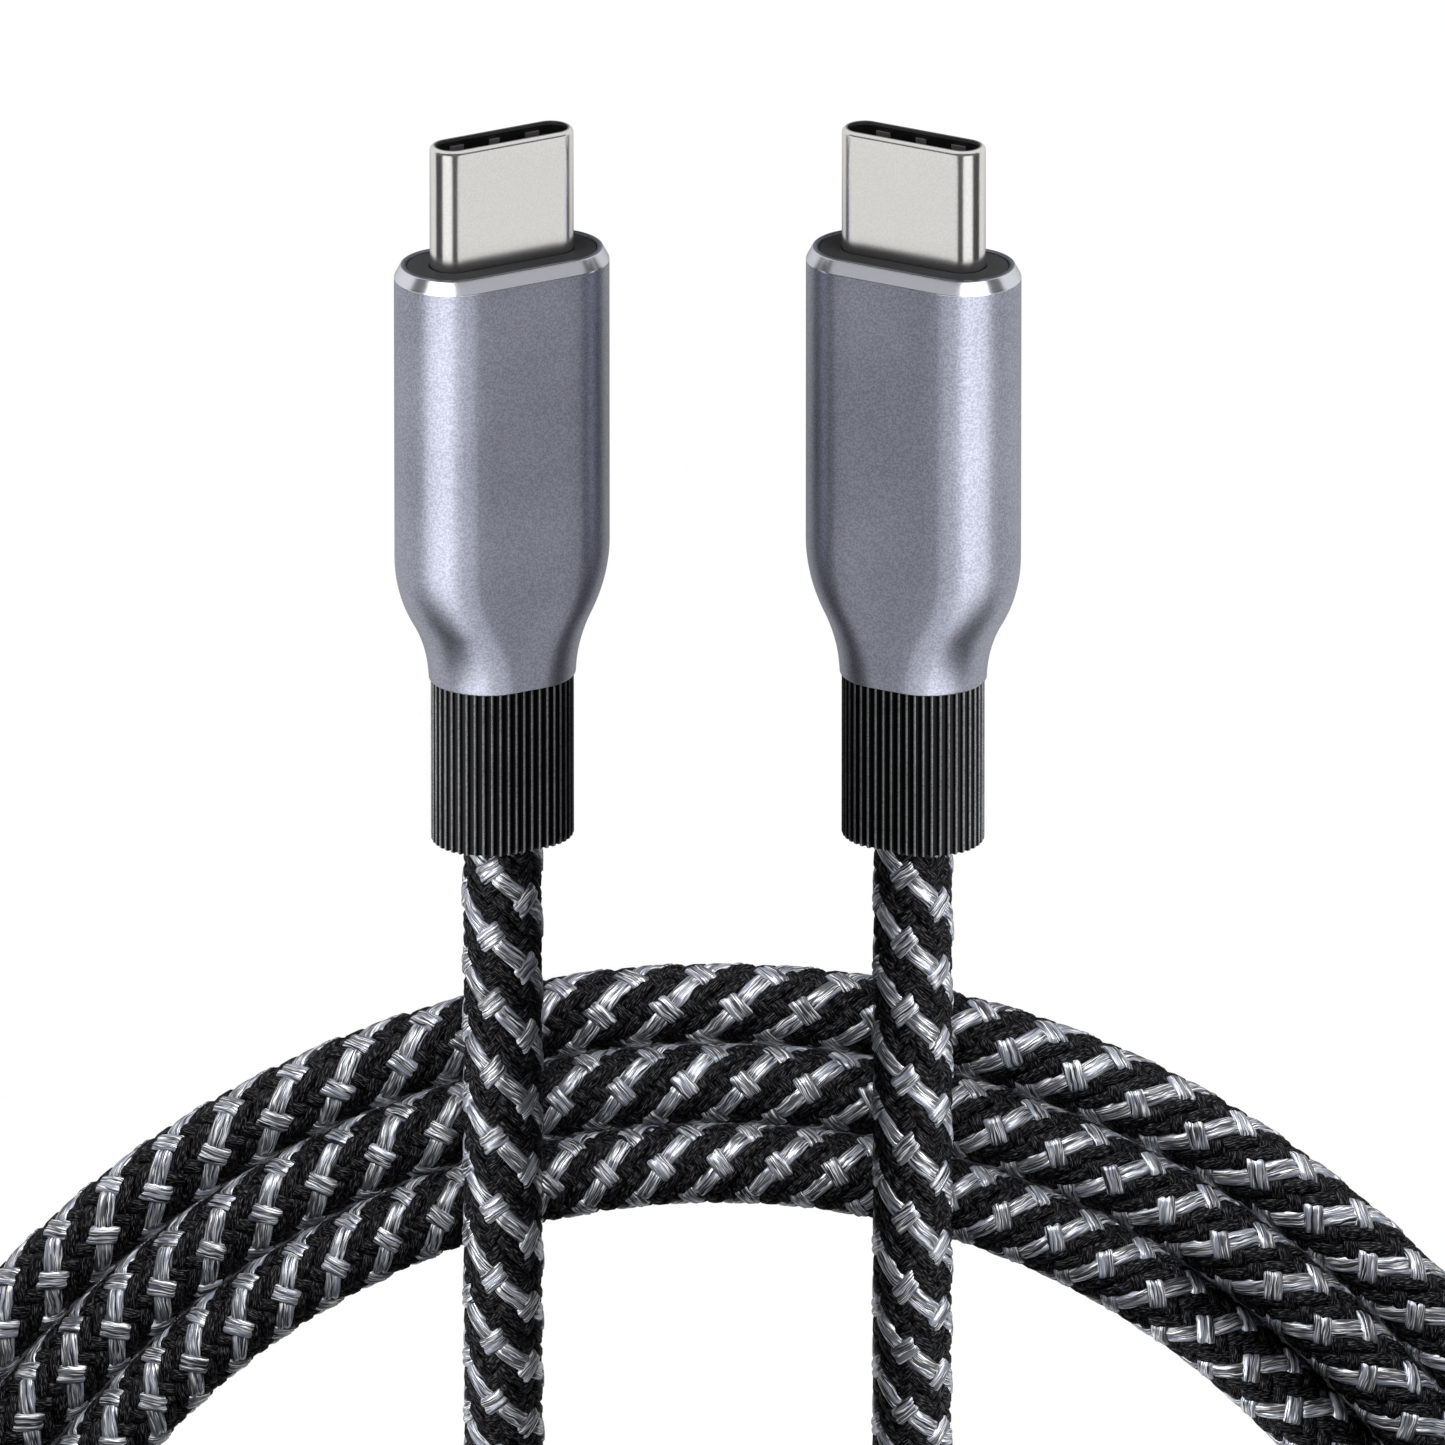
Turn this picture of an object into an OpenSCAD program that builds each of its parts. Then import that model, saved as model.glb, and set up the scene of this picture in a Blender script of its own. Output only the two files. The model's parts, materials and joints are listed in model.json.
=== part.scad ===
// Charging cable: two metal plugs on one braided cord, lying on a table with the cord wound in a
// flat oval coil. Each plug is built in its own frame, with its front rim at z = 0, its nose
// along +z, its width along x and its upper side at +y, and is then laid on the table.

/* [Shell] */
// Outside width of the metal shell
shell_w = 8.25; // [8.1:0.05:8.5]
// Outside thickness of the metal shell
shell_t = 2.4; // [2.36:0.02:2.6]
// Sheet thickness of the shell
shell_wall = 0.3; // [0.24:0.01:0.32]
// Length of the shell that stands out of the housing
shell_out = 6.65; // [6.2:0.05:7.2]
// Length of the shell that is held inside the housing
shell_in = 3.6; // [3:0.1:4.2]
// Rounding of the shell's mouth
shell_lip = 0.16; // [0.05:0.01:0.22]

/* [Contact housing] */
// How far the contact housing's face lies inside the mouth
mouth_recess = 0.75; // [0.4:0.05:1.2]
// Width of the slot for the socket's tongue
slot_w = 6.8; // [6.7:0.02:6.9]
// Height of the slot for the socket's tongue
slot_t = 0.86; // [0.8:0.01:0.9]
// Depth of the slot
slot_depth = 6.1; // [5.5:0.1:6.4]

/* [Contacts] */
// Contacts in each row
contact_count = 12; // [8:1:12]
// Distance between neighbouring contacts
contact_pitch = 0.5; // [0.45:0.01:0.52]
// Width of a contact
contact_w = 0.25; // [0.2:0.01:0.3]
// Sheet thickness of a contact
contact_t = 0.12; // [0.1:0.01:0.14]
// How far a contact's bow reaches into the slot
contact_bow = 0.07; // [0.03:0.01:0.12]
// Length of a contact's tail on the circuit board
contact_tail = 1.5; // [1:0.1:2]

/* [Springs] */
// Sheet thickness of a screening spring
screen_t = 0.1; // [0.08:0.01:0.11]
// Width of a screening spring's band
screen_w = 5.9; // [5.8:0.02:6.1]
// Length of a screening spring's tabs
screen_tab_len = 2.8; // [2:0.1:3.2]
// Width of the two outer tabs
screen_tab_w = 0.9; // [0.7:0.05:1]
// Width of the middle tab
screen_mid_w = 0.55; // [0.4:0.05:0.7]
// Distance of the outer tabs from the middle
screen_tab_x = 2.4; // [2.2:0.05:2.44]
// Thickness of the latch spring's arms
latch_t = 0.15; // [0.1:0.01:0.17]
// Height of the latch spring's arms
latch_h = 0.5; // [0.4:0.02:0.6]
// How far the latch hooks reach into the slot
latch_hook = 0.2; // [0.1:0.02:0.3]

/* [Housing] */
// Width of the housing
body_w = 12.1; // [11.8:0.1:13]
// Thickness of the housing
body_t = 6.1; // [6:0.1:6.8]
// Length of the housing
body_len = 23.4; // [22.5:0.1:26]
// Wall of the housing
body_wall = 0.65; // [0.5:0.05:0.7]
// Length of the housing before it narrows
body_straight = 16.85; // [16:0.1:17.5]
// Width of the housing at its rear end
tail_w = 7.96; // [7.6:0.05:8.4]
// Radius of the convex shoulder where the housing narrows
shoulder_r = 7.5; // [5:0.1:8]
// Width of the bright chamfer round the front
chamfer_w = 0.35; // [0.2:0.05:0.4]
// Length of the bright chamfer round the front
chamfer_len = 0.67; // [0.4:0.01:0.9]

/* [Front insert] */
// Thickness of the front insert
insert_t = 1.4; // [1:0.1:1.8]
// How far the front insert lies below the rim
insert_step = 0.05; // [0.02:0.01:0.2]

/* [Inner shield] */
// Sheet thickness of the inner shield
shield_t = 0.2; // [0.15:0.01:0.25]
// Space between the inner shield and the housing
shield_gap = 0.15; // [0.08:0.01:0.2]
// Length of the inner shield
shield_len = 13.9; // [13.6:0.1:14.4]
// Seam between the two halves of the inner shield
shield_seam = 0.06; // [0.04:0.01:0.1]

/* [Circuit board] */
// Space between the circuit board's long edges and the inner shield
board_gap = 0.2; // [0.15:0.01:0.4]
// Thickness of the circuit board
board_t = 0.8; // [0.76:0.02:0.84]
// Length of the circuit board
board_len = 8.8; // [8.4:0.1:9]
// Side of the marker chip
chip_side = 2; // [1.5:0.1:2.4]
// Height of the marker chip
chip_h = 0.6; // [0.4:0.05:0.9]
// Space between the marker chip and the capacitors beside it
chip_gap = 1; // [0.5:0.1:1.4]
// Length of a capacitor
cap_len = 1; // [0.6:0.1:1.2]
// Width and height of a capacitor
cap_side = 0.5; // [0.3:0.05:0.6]

/* [Wires] */
// Diameter of the power and ground wires
power_d = 1; // [0.8:0.05:1.1]
// Diameter of a signal wire
signal_d = 0.54; // [0.4:0.02:0.6]
// Distance between neighbouring signal wires
signal_pitch = 0.7; // [0.65:0.01:0.75]
// Length of wire that lies on the circuit board
wire_on_board = 1.9; // [1.5:0.1:2.2]

/* [Strain relief] */
// Length of the strain relief behind the housing
relief_len = 9.1; // [8:0.1:11]
// How far the strain relief lies inside the housing's outline
relief_step = 0.1; // [0.05:0.01:0.2]
// Ribs round the strain relief
rib_count = 48; // [40:2:52]
// Depth of the grooves between the ribs
rib_depth = 0.16; // [0.1:0.01:0.2]
// Share of each rib's pitch that its crest takes
rib_share = 0.45; // [0.35:0.05:0.6]
// Length of the strain relief's plug inside the housing
spigot_len = 2.5; // [2:0.1:3]

/* [Crimp] */
// Wall of the crimp ring
crimp_wall = 0.2; // [0.15:0.01:0.22]
// Length of the crimp ring
crimp_len = 2.8; // [2:0.1:3.2]

/* [Cord] */
// Diameter of the cord
cord_d = 4.2; // [4:0.05:4.26]

/* [Coil] */
// Radius of the coil's middle turn along its top
coil_top_r = 46.83; // [46:0.1:48]
// Radius of the coil's middle turn along its sides
coil_side_r = 20.8; // [20:0.1:23]
// Half the angle that the top arc spans
coil_top_half = 52; // [50:1:54]
// Half the angle that the bottom arc spans
coil_bottom_half = 43; // [41:1:45]
// Distance between neighbouring turns across the coil
coil_pitch = 4.23; // [4.2:0.01:4.6]
// How much longer the coil lies than it is wide
coil_stretch = 1.0876; // [1.05:0.01:1.12]

/* [Lay] */
// Distance between the two plugs' axes
plug_spacing = 21.6; // [20:0.1:24]
// Roll of each plug towards the other
plug_roll = 28.5; // [20:0.5:35]
// Dip of each plug's nose towards the table
plug_tilt = 2.65; // [1:0.05:4]

/* [Fits] */
// Clearance between pieces that fit into each other
fit = 0.03; // [0.01:0.01:0.04]

/* [Hidden] */
$fn = 64;

// Finishes
anodised = [0.49, 0.5, 0.55];
insert_grey = [0.3, 0.3, 0.32];
nickel = [0.8, 0.79, 0.77];
black_plastic = [0.06, 0.06, 0.07];
gold = [0.83, 0.66, 0.3];
spring_steel = [0.62, 0.62, 0.63];
board_green = [0.06, 0.3, 0.2];
tin = [0.7, 0.71, 0.72];
milky = [0.85, 0.85, 0.8];
relief_black = [0.1, 0.1, 0.11];
braid_black = [0.14, 0.14, 0.16];

// Half the distance between the centres of an oblong's round ends
function ends(w, t) = (w - t) / 2;

// Shell and what lies in it
shell_ends = ends(shell_w, shell_t);
shell_r = shell_t / 2;
shell_bore_r = shell_r - shell_wall;
liner_r = shell_bore_r - fit;
liner_face = shell_out - mouth_recess;
slot_floor = liner_face - slot_depth;

// Contacts: heights are measured from the plug's middle plane
contact_y = board_t / 2;
contact_back = 0.6;
contact_lead = 0.9;
contact_arm = 2.9;
contact_tip = liner_face - contact_back;
contact_bow_z = contact_tip - contact_lead;
contact_bend_z = contact_bow_z - contact_arm;
contact_lift = 0.06;

// Screening springs
screen_y = liner_r;
screen_bow = 0.1;
screen_tip = liner_face;
screen_bow_z = screen_tip - 0.9;
screen_root = screen_tip - screen_tab_len;
screen_band = 1.9;

// Latch spring
latch_x = slot_w / 2 + fit;
latch_tip = liner_face - 1;
latch_hook_len = 0.6;
latch_bar_z = slot_floor - 0.9;
latch_bar_len = 0.5;
latch_bar_t = 0.2;

// Housing
body_ends = ends(body_w, body_t);
body_r = body_t / 2;
cavity_r = body_r - body_wall;
tail_run = 0.45;
tail_steps = 12;
taper_len = body_len - body_straight + tail_run;
taper_drop = (body_w - tail_w) / 2;
taper_angle = 2 * atan2(taper_drop, taper_len);
hollow_r = taper_len / sin(taper_angle) - shoulder_r;

// Inside and outside of the inner shield
shield_r = cavity_r - shield_gap;
shield_bore_r = shield_r - shield_t;

// Circuit board and wires
board_w = 2 * (body_ends + sqrt(shield_bore_r ^ 2 - (board_t / 2) ^ 2) - board_gap);
board_z = -shell_in - 0.1;
board_rear = board_z - board_len;
wire_start = board_rear + wire_on_board;
power_x = 0.72;
power_y = board_t / 2 + power_d / 2 + fit;
signal_y = -board_t / 2 - signal_d / 2 - fit;

// Pieces on the circuit board: distance behind its front edge, and the chip's from the middle
parts_back = 3;
chip_x = board_w / 2 - cap_len - chip_gap - chip_side / 2;

// Inner shield, mould, cable end and crimp ring
shield_front = -insert_t - fit;
shield_rear = shield_front - shield_len;
mould_gap = 0.1;
cable_front = shield_rear - mould_gap;
crimp_front = cable_front - 0.3;

// How far a cut runs past what it cuts, and a join into what it joins
past = 1;
joined = 0.5;

// Strain relief
relief_w = tail_w - 2 * relief_step;
relief_t = body_t - 2 * relief_step;
relief_rear = -body_len - relief_len;

// The plugs' place: each stands on the rear edge of its chamfer
edge_drop = body_ends * sin(plug_roll) + body_r;
rim_z = edge_drop * cos(plug_tilt) - chamfer_len * sin(plug_tilt);
rim_y = (body_len + relief_len - shell_out) / 2 * cos(plug_tilt);
cord_start_y = rim_y + relief_rear * cos(plug_tilt);
cord_start_z = rim_z - relief_rear * sin(plug_tilt);
cord_start_dir = [0, -cos(plug_tilt), sin(plug_tilt)];

// Route of the cord. It lies on the table at this height
table_z = cord_d / 2;
coil_centre = [0.53, -86.38];
coil_passes = 3;
coil_start = -52;
coil_end = 918;
loop_rings = 24;

// From a plug over the coil and down to the table, as [y, z] at the plug's own x
over_coil = [
    [-26, 6.25], [-32, 6.55], [-37.5, 6.7], [-43, 6.55],
    [-48, 5.6], [-53, 4.2], [-58, 3], [-63, 2.25]
];
// The rest of lead a, to the coil's inner end
inner_run = [
    [-10.8, -69.3, 2.1], [-9.7, -76.3, 2.1], [-6.4, -82.5, 2.1], [-1.3, -87.4, 2.1],
    [5.1, -90.4, 2.1], [12.1, -91.3, 2.1], [19, -89.9, 2.1]
];
// Lead b from the coil's outer end, over the inner turns and over lead a
outer_run = [
    [-41.3, -87.2, 3], [-37.7, -91.8, 4.3], [-32.9, -95.2, 5.7], [-27.5, -97.8, 6.4],
    [-21.5, -99.4, 6.7], [-15.3, -99.9, 6.8], [-9.2, -99.2, 6.8], [-3.4, -97.2, 6.8],
    [1.7, -93.8, 6.8], [5.7, -89.4, 6.6], [8.6, -84.4, 6.1], [10.3, -79, 5.1],
    [11, -73.8, 3.3], [10.8, -68.4, 2.3]
];

// The coil's arcs, before it is stretched: centre of the right side arc, and radius and
// centre height of the bottom arc
side_x = (coil_top_r - coil_side_r) * sin(coil_top_half);
side_y = (coil_top_r - coil_side_r) * cos(coil_top_half);
bottom_r = coil_side_r + side_x / sin(coil_bottom_half);
bottom_y = side_y + (bottom_r - coil_side_r) * cos(coil_bottom_half);

// Angle from the nearest top, in the range -180 to 180
function from_top(a) = a - 90 - 360 * round((a - 90) / 360);
// Turns wound from the middle one: steady over the top, and growing over the rest of a turn
function wound(a) =
    let (a0 = a - 90 + coil_top_half, k = floor(a0 / 360), r = a0 - 360 * k)
    k - (coil_passes - 1) / 2 + max(0, (r - 2 * coil_top_half) / (360 - 2 * coil_top_half));
// A point of the middle turn, moved out by a distance, before the coil is stretched
function oval(a, out) =
    let (d = from_top(a), n = [cos(a), sin(a)])
    abs(d) <= coil_top_half ? (coil_top_r + out) * n :
    abs(d) >= 180 - coil_bottom_half ? [0, bottom_y] + (bottom_r + out) * n :
    [d > 0 ? -side_x : side_x, side_y] + (coil_side_r + out) * n;
function coil_point(a) =
    let (p = oval(a, coil_pitch * wound(a)))
    [coil_centre[0] + p[0], coil_centre[1] + coil_stretch * p[1], table_z];
function unit(v) = v / norm(v);
function coil_dir(a) = unit(coil_point(a + 0.5) - coil_point(a - 0.5));

coil_in = coil_point(coil_start) - cord_d * coil_dir(coil_start);
coil_out = coil_point(coil_end) + cord_d * coil_dir(coil_end);
coil_steps = round((coil_end - coil_start) / 360 * loop_rings);
coil_route = [
    coil_in,
    for (i = [0:coil_steps]) coil_point(coil_start + i * (coil_end - coil_start) / coil_steps),
    coil_out
];
function cord_start(side) = [side * plug_spacing / 2, cord_start_y, cord_start_z];
function over(side) = [for (p = over_coil) [side * plug_spacing / 2, p[0], p[1]]];
function reversed(list) = [for (i = [len(list) - 1:-1:0]) list[i]];
lead_a_route = concat([cord_start(-1)], over(-1), inner_run, [coil_in]);
lead_b_route = concat([coil_out], outer_run, reversed(over(1)), [cord_start(1)]);

// Ring i of a tube: points round the route, with one straight above it and one straight below
function ring_dir(route, i, first, last) =
    i == 0 ? first :
    i == len(route) - 1 ? last :
    unit(unit(route[i + 1] - route[i]) + unit(route[i] - route[i - 1]));
function ring(route, i, first, last, r, sides) =
    let (
        t = ring_dir(route, i, first, last),
        across = unit(cross(t, [0, 0, 1])),
        above = cross(across, t)
    )
    [for (k = [0:sides - 1])
        route[i] + r * (sin(k * 360 / sides) * across + cos(k * 360 / sides) * above)];
function tube_points(route, first, last, r, sides) =
    [for (i = [0:len(route) - 1]) each ring(route, i, first, last, r, sides)];

// The least distance between any two points of the coil's tube that lie a turn apart
coil_points = tube_points(coil_route, coil_dir(coil_start), coil_dir(coil_end), cord_d / 2, 6);
least_gap = min([
    for (i = [0:len(coil_route) - 1], j = [i + loop_rings / 2:len(coil_route) - 1])
        if (norm(coil_route[i] - coil_route[j]) < 2 * cord_d)
            for (k = [0:5], m = [0:5]) norm(coil_points[6 * i + k] - coil_points[6 * j + m])
]);
echo(least_gap_of_coil_to_itself = least_gap);

// A tube along a route, in triangles, with square ends
module tube(route, first, last, sides) {
    n = len(route);
    points = tube_points(route, first, last, cord_d / 2, sides);
    start_cap = [for (k = [1:sides - 2]) [0, k, k + 1]];
    last_ring = (n - 1) * sides;
    end_cap = [for (k = [1:sides - 2]) [last_ring, last_ring + k + 1, last_ring + k]];
    wall = [
        for (i = [0:n - 2], k = [0:sides - 1])
            let (a = i * sides + k, b = i * sides + (k + 1) % sides)
            each [[a, a + sides, b], [b, a + sides, b + sides]]
    ];
    polyhedron(points, concat(start_cap, end_cap, wall));
}

// Turns a profile, given as distance from the middle line against height, into an oblong solid
module oblong(half) {
    for (end = [-1, 1]) translate([end * half, 0, 0]) rotate_extrude() children();
    translate([-half, 0, 0]) rotate([90, 0, 90]) linear_extrude(2 * half) {
        children();
        mirror([1, 0]) children();
    }
}

// A plain oblong bar from one height to another
module oblong_bar(half, r, z0, z1) {
    oblong(half) translate([0, z0]) square([r, z1 - z0]);
}

// A box about the z axis from one height to another
module bar(w, t, z0, z1) {
    translate([-w / 2, -t / 2, z0]) cube([w, t, z1 - z0]);
}

// A round rod along z
module rod(d, z0, z1) {
    translate([0, 0, z0]) cylinder(d = d, h = z1 - z0);
}

// Turns a side profile, given as height from the middle plane against z, into a strip
module strip(x, w) {
    translate([x - w / 2, 0, 0]) rotate([90, 0, 90]) linear_extrude(w) children();
}

// The half of a piece that lies above or below the middle plane
module half_of(up, gap) {
    reach = 2 * body_w;
    intersection() {
        children();
        translate([-reach / 2, up ? gap / 2 : -reach - gap / 2, -reach * 2])
            cube([reach, reach, reach * 4]);
    }
}

// Half the housing's width at a distance behind its front
function half_width(z) =
    let (s = z - body_straight, s1 = shoulder_r * sin(taper_angle), e = taper_len - s)
    s <= 0 ? body_w / 2 :
    s <= s1 ? body_w / 2 - shoulder_r + sqrt(shoulder_r ^ 2 - s ^ 2) :
    tail_w / 2 + hollow_r - sqrt(hollow_r ^ 2 - e ^ 2);

// Point k of an oblong ring: right end from bottom to top, then left end from top to bottom
function oblong_point(k, half, r, z) =
    let (right = k <= $fn / 2, a = (right ? k : k - 1) * 360 / $fn - 90)
    [(right ? half : -half) + r * cos(a), r * sin(a), z];

// Joins oblong rings, each given as [half, r, z], into a sleeve: down the outside, up the inside
module sleeve(rings) {
    n = $fn + 2;
    m = len(rings);
    points = [for (g = rings, k = [0:n - 1]) oblong_point(k, g[0], g[1], g[2])];
    faces = [
        for (i = [0:m - 1], k = [0:n - 1])
            let (a = i * n, b = (i + 1) % m * n, j = (k + 1) % n)
            each [[a + k, a + j, b + k], [b + k, a + j, b + j]]
    ];
    polyhedron(points, faces);
}

// Grooved outline of the strain relief: corners at a rib's two edges and a groove's two edges
perimeter_straight = relief_w - relief_t;
perimeter = 2 * perimeter_straight + PI * relief_t;
rib_pitch = perimeter / rib_count;
function oblong_at(s, r) =
    let (
        a = perimeter_straight,
        q = PI * relief_t / 2,
        u = s % perimeter
    )
    u < a ? [a / 2 - u, r] :
    u < a + q ? [-a / 2, 0] + r * [cos(90 + (u - a) / q * 180), sin(90 + (u - a) / q * 180)] :
    u < 2 * a + q ? [-a / 2 + u - a - q, -r] :
    [a / 2, 0] + r * [cos(270 + (u - 2 * a - q) / q * 180), sin(270 + (u - 2 * a - q) / q * 180)];
rib_outline = [
    for (i = [0:rib_count - 1]) each [
        oblong_at((i + 0.02) * rib_pitch, relief_t / 2 - rib_depth),
        oblong_at((i + 0.5 - rib_share / 2) * rib_pitch, relief_t / 2),
        oblong_at((i + 0.5 + rib_share / 2) * rib_pitch, relief_t / 2),
        oblong_at((i + 0.98) * rib_pitch, relief_t / 2 - rib_depth)
    ]
];

// Rings of the housing's narrowing part, from front to rear
function tail_rings(r) = [
    for (i = [0:tail_steps])
        let (z = body_straight + (body_len - body_straight) * i / tail_steps)
        [half_width(z) - body_r, r, -z]
];

module housing() {
    color(anodised) sleeve(concat(
        [[body_ends, body_r - chamfer_w, 0], [body_ends, body_r, -chamfer_len]],
        tail_rings(body_r),
        reversed(tail_rings(cavity_r)),
        [[body_ends, cavity_r, 0]]
    ));
}

module front_insert() {
    color(insert_grey) difference() {
        oblong_bar(body_ends, cavity_r - fit, -insert_t, -insert_step);
        oblong_bar(shell_ends, shell_r + fit, -insert_t - past, past);
    }
}

module shell() {
    lip = min(shell_lip, shell_wall);
    color(nickel) difference() {
        oblong(shell_ends) {
            translate([0, -shell_in]) square([shell_r, shell_in + shell_out - lip]);
            square([shell_r - lip, shell_out]);
            translate([shell_r - lip, shell_out - lip]) circle(lip);
        }
        oblong_bar(shell_ends, shell_bore_r, -shell_in - past, shell_out + past);
    }
}

// Places its children at each contact of a row
module contact_row() {
    for (i = [0:contact_count - 1])
        translate([(i - (contact_count - 1) / 2) * contact_pitch, 0, 0]) children();
}

module contact_housing() {
    groove_top = contact_y + contact_lift + contact_t + fit;
    groove_len = shell_in + contact_tip + 2 * contact_t;
    screen_floor = screen_y - screen_t - screen_bow - fit;
    latch_reach = latch_x + latch_t + fit;
    color(black_plastic) difference() {
        oblong_bar(shell_ends, liner_r, -shell_in, liner_face);
        bar(slot_w, slot_t, slot_floor, liner_face + past);
        for (up = [0, 1]) mirror([0, up, 0]) {
            contact_row() translate([-contact_w / 2 - fit, contact_y - fit, -shell_in - past])
                cube([contact_w + 2 * fit, groove_top - contact_y + fit, groove_len + past]);
            translate([-screen_w / 2 - fit, screen_floor, screen_root - screen_band - fit])
                cube([screen_w + 2 * fit, shell_r, shell_out]);
        }
        for (side = [0, 1]) mirror([side, 0, 0])
            translate([slot_w / 2 - fit, -latch_h / 2 - fit, latch_bar_z - fit])
                cube([latch_reach - slot_w / 2 + fit, latch_h + 2 * fit, shell_out * 2]);
        bar(2 * latch_reach, latch_bar_t + 2 * fit, latch_bar_z - fit, slot_floor + past);
    }
}

module contacts() {
    tail_end = board_z - contact_tail;
    inner = [
        [contact_y, tail_end], [contact_y, contact_bend_z],
        [contact_y - contact_bow, contact_bow_z], [contact_y + contact_lift, contact_tip]
    ];
    outer = [for (i = [len(inner) - 1:-1:0]) inner[i] + [contact_t, 0]];
    contact_row() strip(0, contact_w) polygon(concat(inner, outer));
}

module upper_contacts() {
    color(gold) contacts();
}

module lower_contacts() {
    color(gold) mirror([0, 1, 0]) contacts();
}

module screen_spring() {
    inner_y = screen_y - screen_t;
    tab = [
        [inner_y, screen_root - 0.2], [inner_y, screen_root],
        [inner_y - screen_bow, screen_bow_z], [inner_y - screen_bow / 2, screen_tip],
        [inner_y + screen_t / 2, screen_tip], [inner_y + screen_t - screen_bow, screen_bow_z],
        [screen_y, screen_root], [screen_y, screen_root - 0.2]
    ];
    translate([0, inner_y + screen_t / 2, 0])
        bar(screen_w, screen_t, screen_root - screen_band, screen_root);
    strip(0, screen_mid_w) polygon(tab);
    for (side = [-1, 1]) strip(side * screen_tab_x, screen_tab_w) polygon(tab);
}

module upper_screen_spring() {
    color(spring_steel) screen_spring();
}

module lower_screen_spring() {
    color(spring_steel) mirror([0, 1, 0]) screen_spring();
}

module latch_spring() {
    color(spring_steel) {
        bar(2 * (latch_x + latch_t), latch_bar_t, latch_bar_z, latch_bar_z + latch_bar_len);
        for (side = [0, 1]) mirror([side, 0, 0]) translate([0, -latch_h / 2, 0]) {
            translate([latch_x, 0, latch_bar_z])
                cube([latch_t, latch_h, latch_tip - latch_bar_z]);
            translate([latch_x - latch_hook, 0, latch_tip - latch_hook_len])
                cube([latch_hook + latch_t, latch_h, latch_hook_len]);
        }
    }
}

module circuit_board() {
    color(board_green) bar(board_w, board_t, board_rear, board_z);
}

module marker_chip() {
    color(black_plastic) translate([chip_x, board_t / 2 + chip_h / 2, 0])
        bar(chip_side, chip_h, board_z - parts_back - chip_side, board_z - parts_back);
}

// Front face of a capacitor in its row
function cap_z(i) = board_z - parts_back - 2 * i * cap_side;

module board_components() {
    color(milky) for (i = [0:2], side = [-1, 1])
        translate([side * (board_w / 2 - cap_len), side * (board_t + cap_side) / 2, 0])
            bar(cap_len, cap_side, cap_z(i) - cap_side, cap_z(i));
}

module power_wire() {
    color("firebrick") translate([power_x, power_y, 0]) rod(power_d, cable_front, wire_start);
}

module ground_wire() {
    color("black") translate([-power_x, power_y, 0]) rod(power_d, cable_front, wire_start);
}

// Places its children at each signal wire
module signal_row() {
    for (i = [0:3]) translate([(i - 1.5) * signal_pitch, signal_y, 0]) children();
}

module signal_wires() {
    color("seagreen") signal_row() rod(signal_d, cable_front, wire_start);
}

module shield() {
    difference() {
        oblong_bar(body_ends, shield_r, shield_rear, shield_front);
        oblong_bar(body_ends, shield_bore_r, shield_rear - past, shield_front - shield_t);
        oblong_bar(shell_ends, shell_r + fit, shield_rear, past);
    }
}

module upper_shield() {
    color(tin) half_of(true, shield_seam) shield();
}

module lower_shield() {
    color(tin) half_of(false, shield_seam) shield();
}

module inner_mould() {
    color(milky) difference() {
        oblong_bar(body_ends, shield_bore_r - mould_gap, shield_rear, board_rear - mould_gap);
        for (side = [-1, 1]) translate([side * power_x, power_y, 0])
            rod(power_d + 2 * fit, cable_front, wire_start);
        signal_row() rod(signal_d + 2 * fit, cable_front, wire_start);
    }
}

module crimp_ring() {
    bore = cord_d + 2 * fit;
    color(tin) difference() {
        rod(bore + 2 * crimp_wall, crimp_front - crimp_len, crimp_front);
        rod(bore, crimp_front - crimp_len - past, crimp_front + past);
    }
}

module strain_relief() {
    color(relief_black) difference() {
        union() {
            translate([0, 0, relief_rear]) linear_extrude(relief_len) polygon(rib_outline);
            oblong_bar(ends(tail_w, body_t), cavity_r - fit, -body_len - joined, spigot_len - body_len);
        }
        rod(cord_d + 2 * fit, relief_rear - past, spigot_len - body_len + past);
    }
}

module cable_end() {
    color(braid_black) rod(cord_d, relief_rear, cable_front);
}

module lead_a() {
    color(braid_black) tube(lead_a_route, cord_start_dir, coil_dir(coil_start), 10);
}

module coil() {
    color(braid_black) tube(coil_route, coil_dir(coil_start), coil_dir(coil_end), 6);
}

module lead_b() {
    color(braid_black) tube(lead_b_route, coil_dir(coil_end), -cord_start_dir, 10);
}

// Lays a plug on the table: side -1 is plug a, on the left, and side 1 is plug b
module lay(side) {
    translate([side * plug_spacing / 2, rim_y, rim_z])
        rotate([-plug_tilt, 0, 0]) rotate([0, -side * plug_roll, 0]) rotate([90, 0, 180])
            children();
}

lay(-1) housing();  // housing_a
lay(-1) front_insert();  // front_insert_a
lay(-1) shell();  // shell_a
lay(-1) contact_housing();  // contact_housing_a
lay(-1) upper_contacts();  // upper_contacts_a
lay(-1) lower_contacts();  // lower_contacts_a
lay(-1) upper_screen_spring();  // upper_screen_spring_a
lay(-1) lower_screen_spring();  // lower_screen_spring_a
lay(-1) latch_spring();  // latch_spring_a
lay(-1) circuit_board();  // circuit_board_a
lay(-1) marker_chip();  // marker_chip_a
lay(-1) board_components();  // board_components_a
lay(-1) power_wire();  // power_wire_a
lay(-1) ground_wire();  // ground_wire_a
lay(-1) signal_wires();  // signal_wires_a
lay(-1) upper_shield();  // upper_shield_a
lay(-1) lower_shield();  // lower_shield_a
lay(-1) inner_mould();  // inner_mould_a
lay(-1) crimp_ring();  // crimp_ring_a
lay(-1) strain_relief();  // strain_relief_a
lay(-1) cable_end();  // cable_end_a

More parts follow.
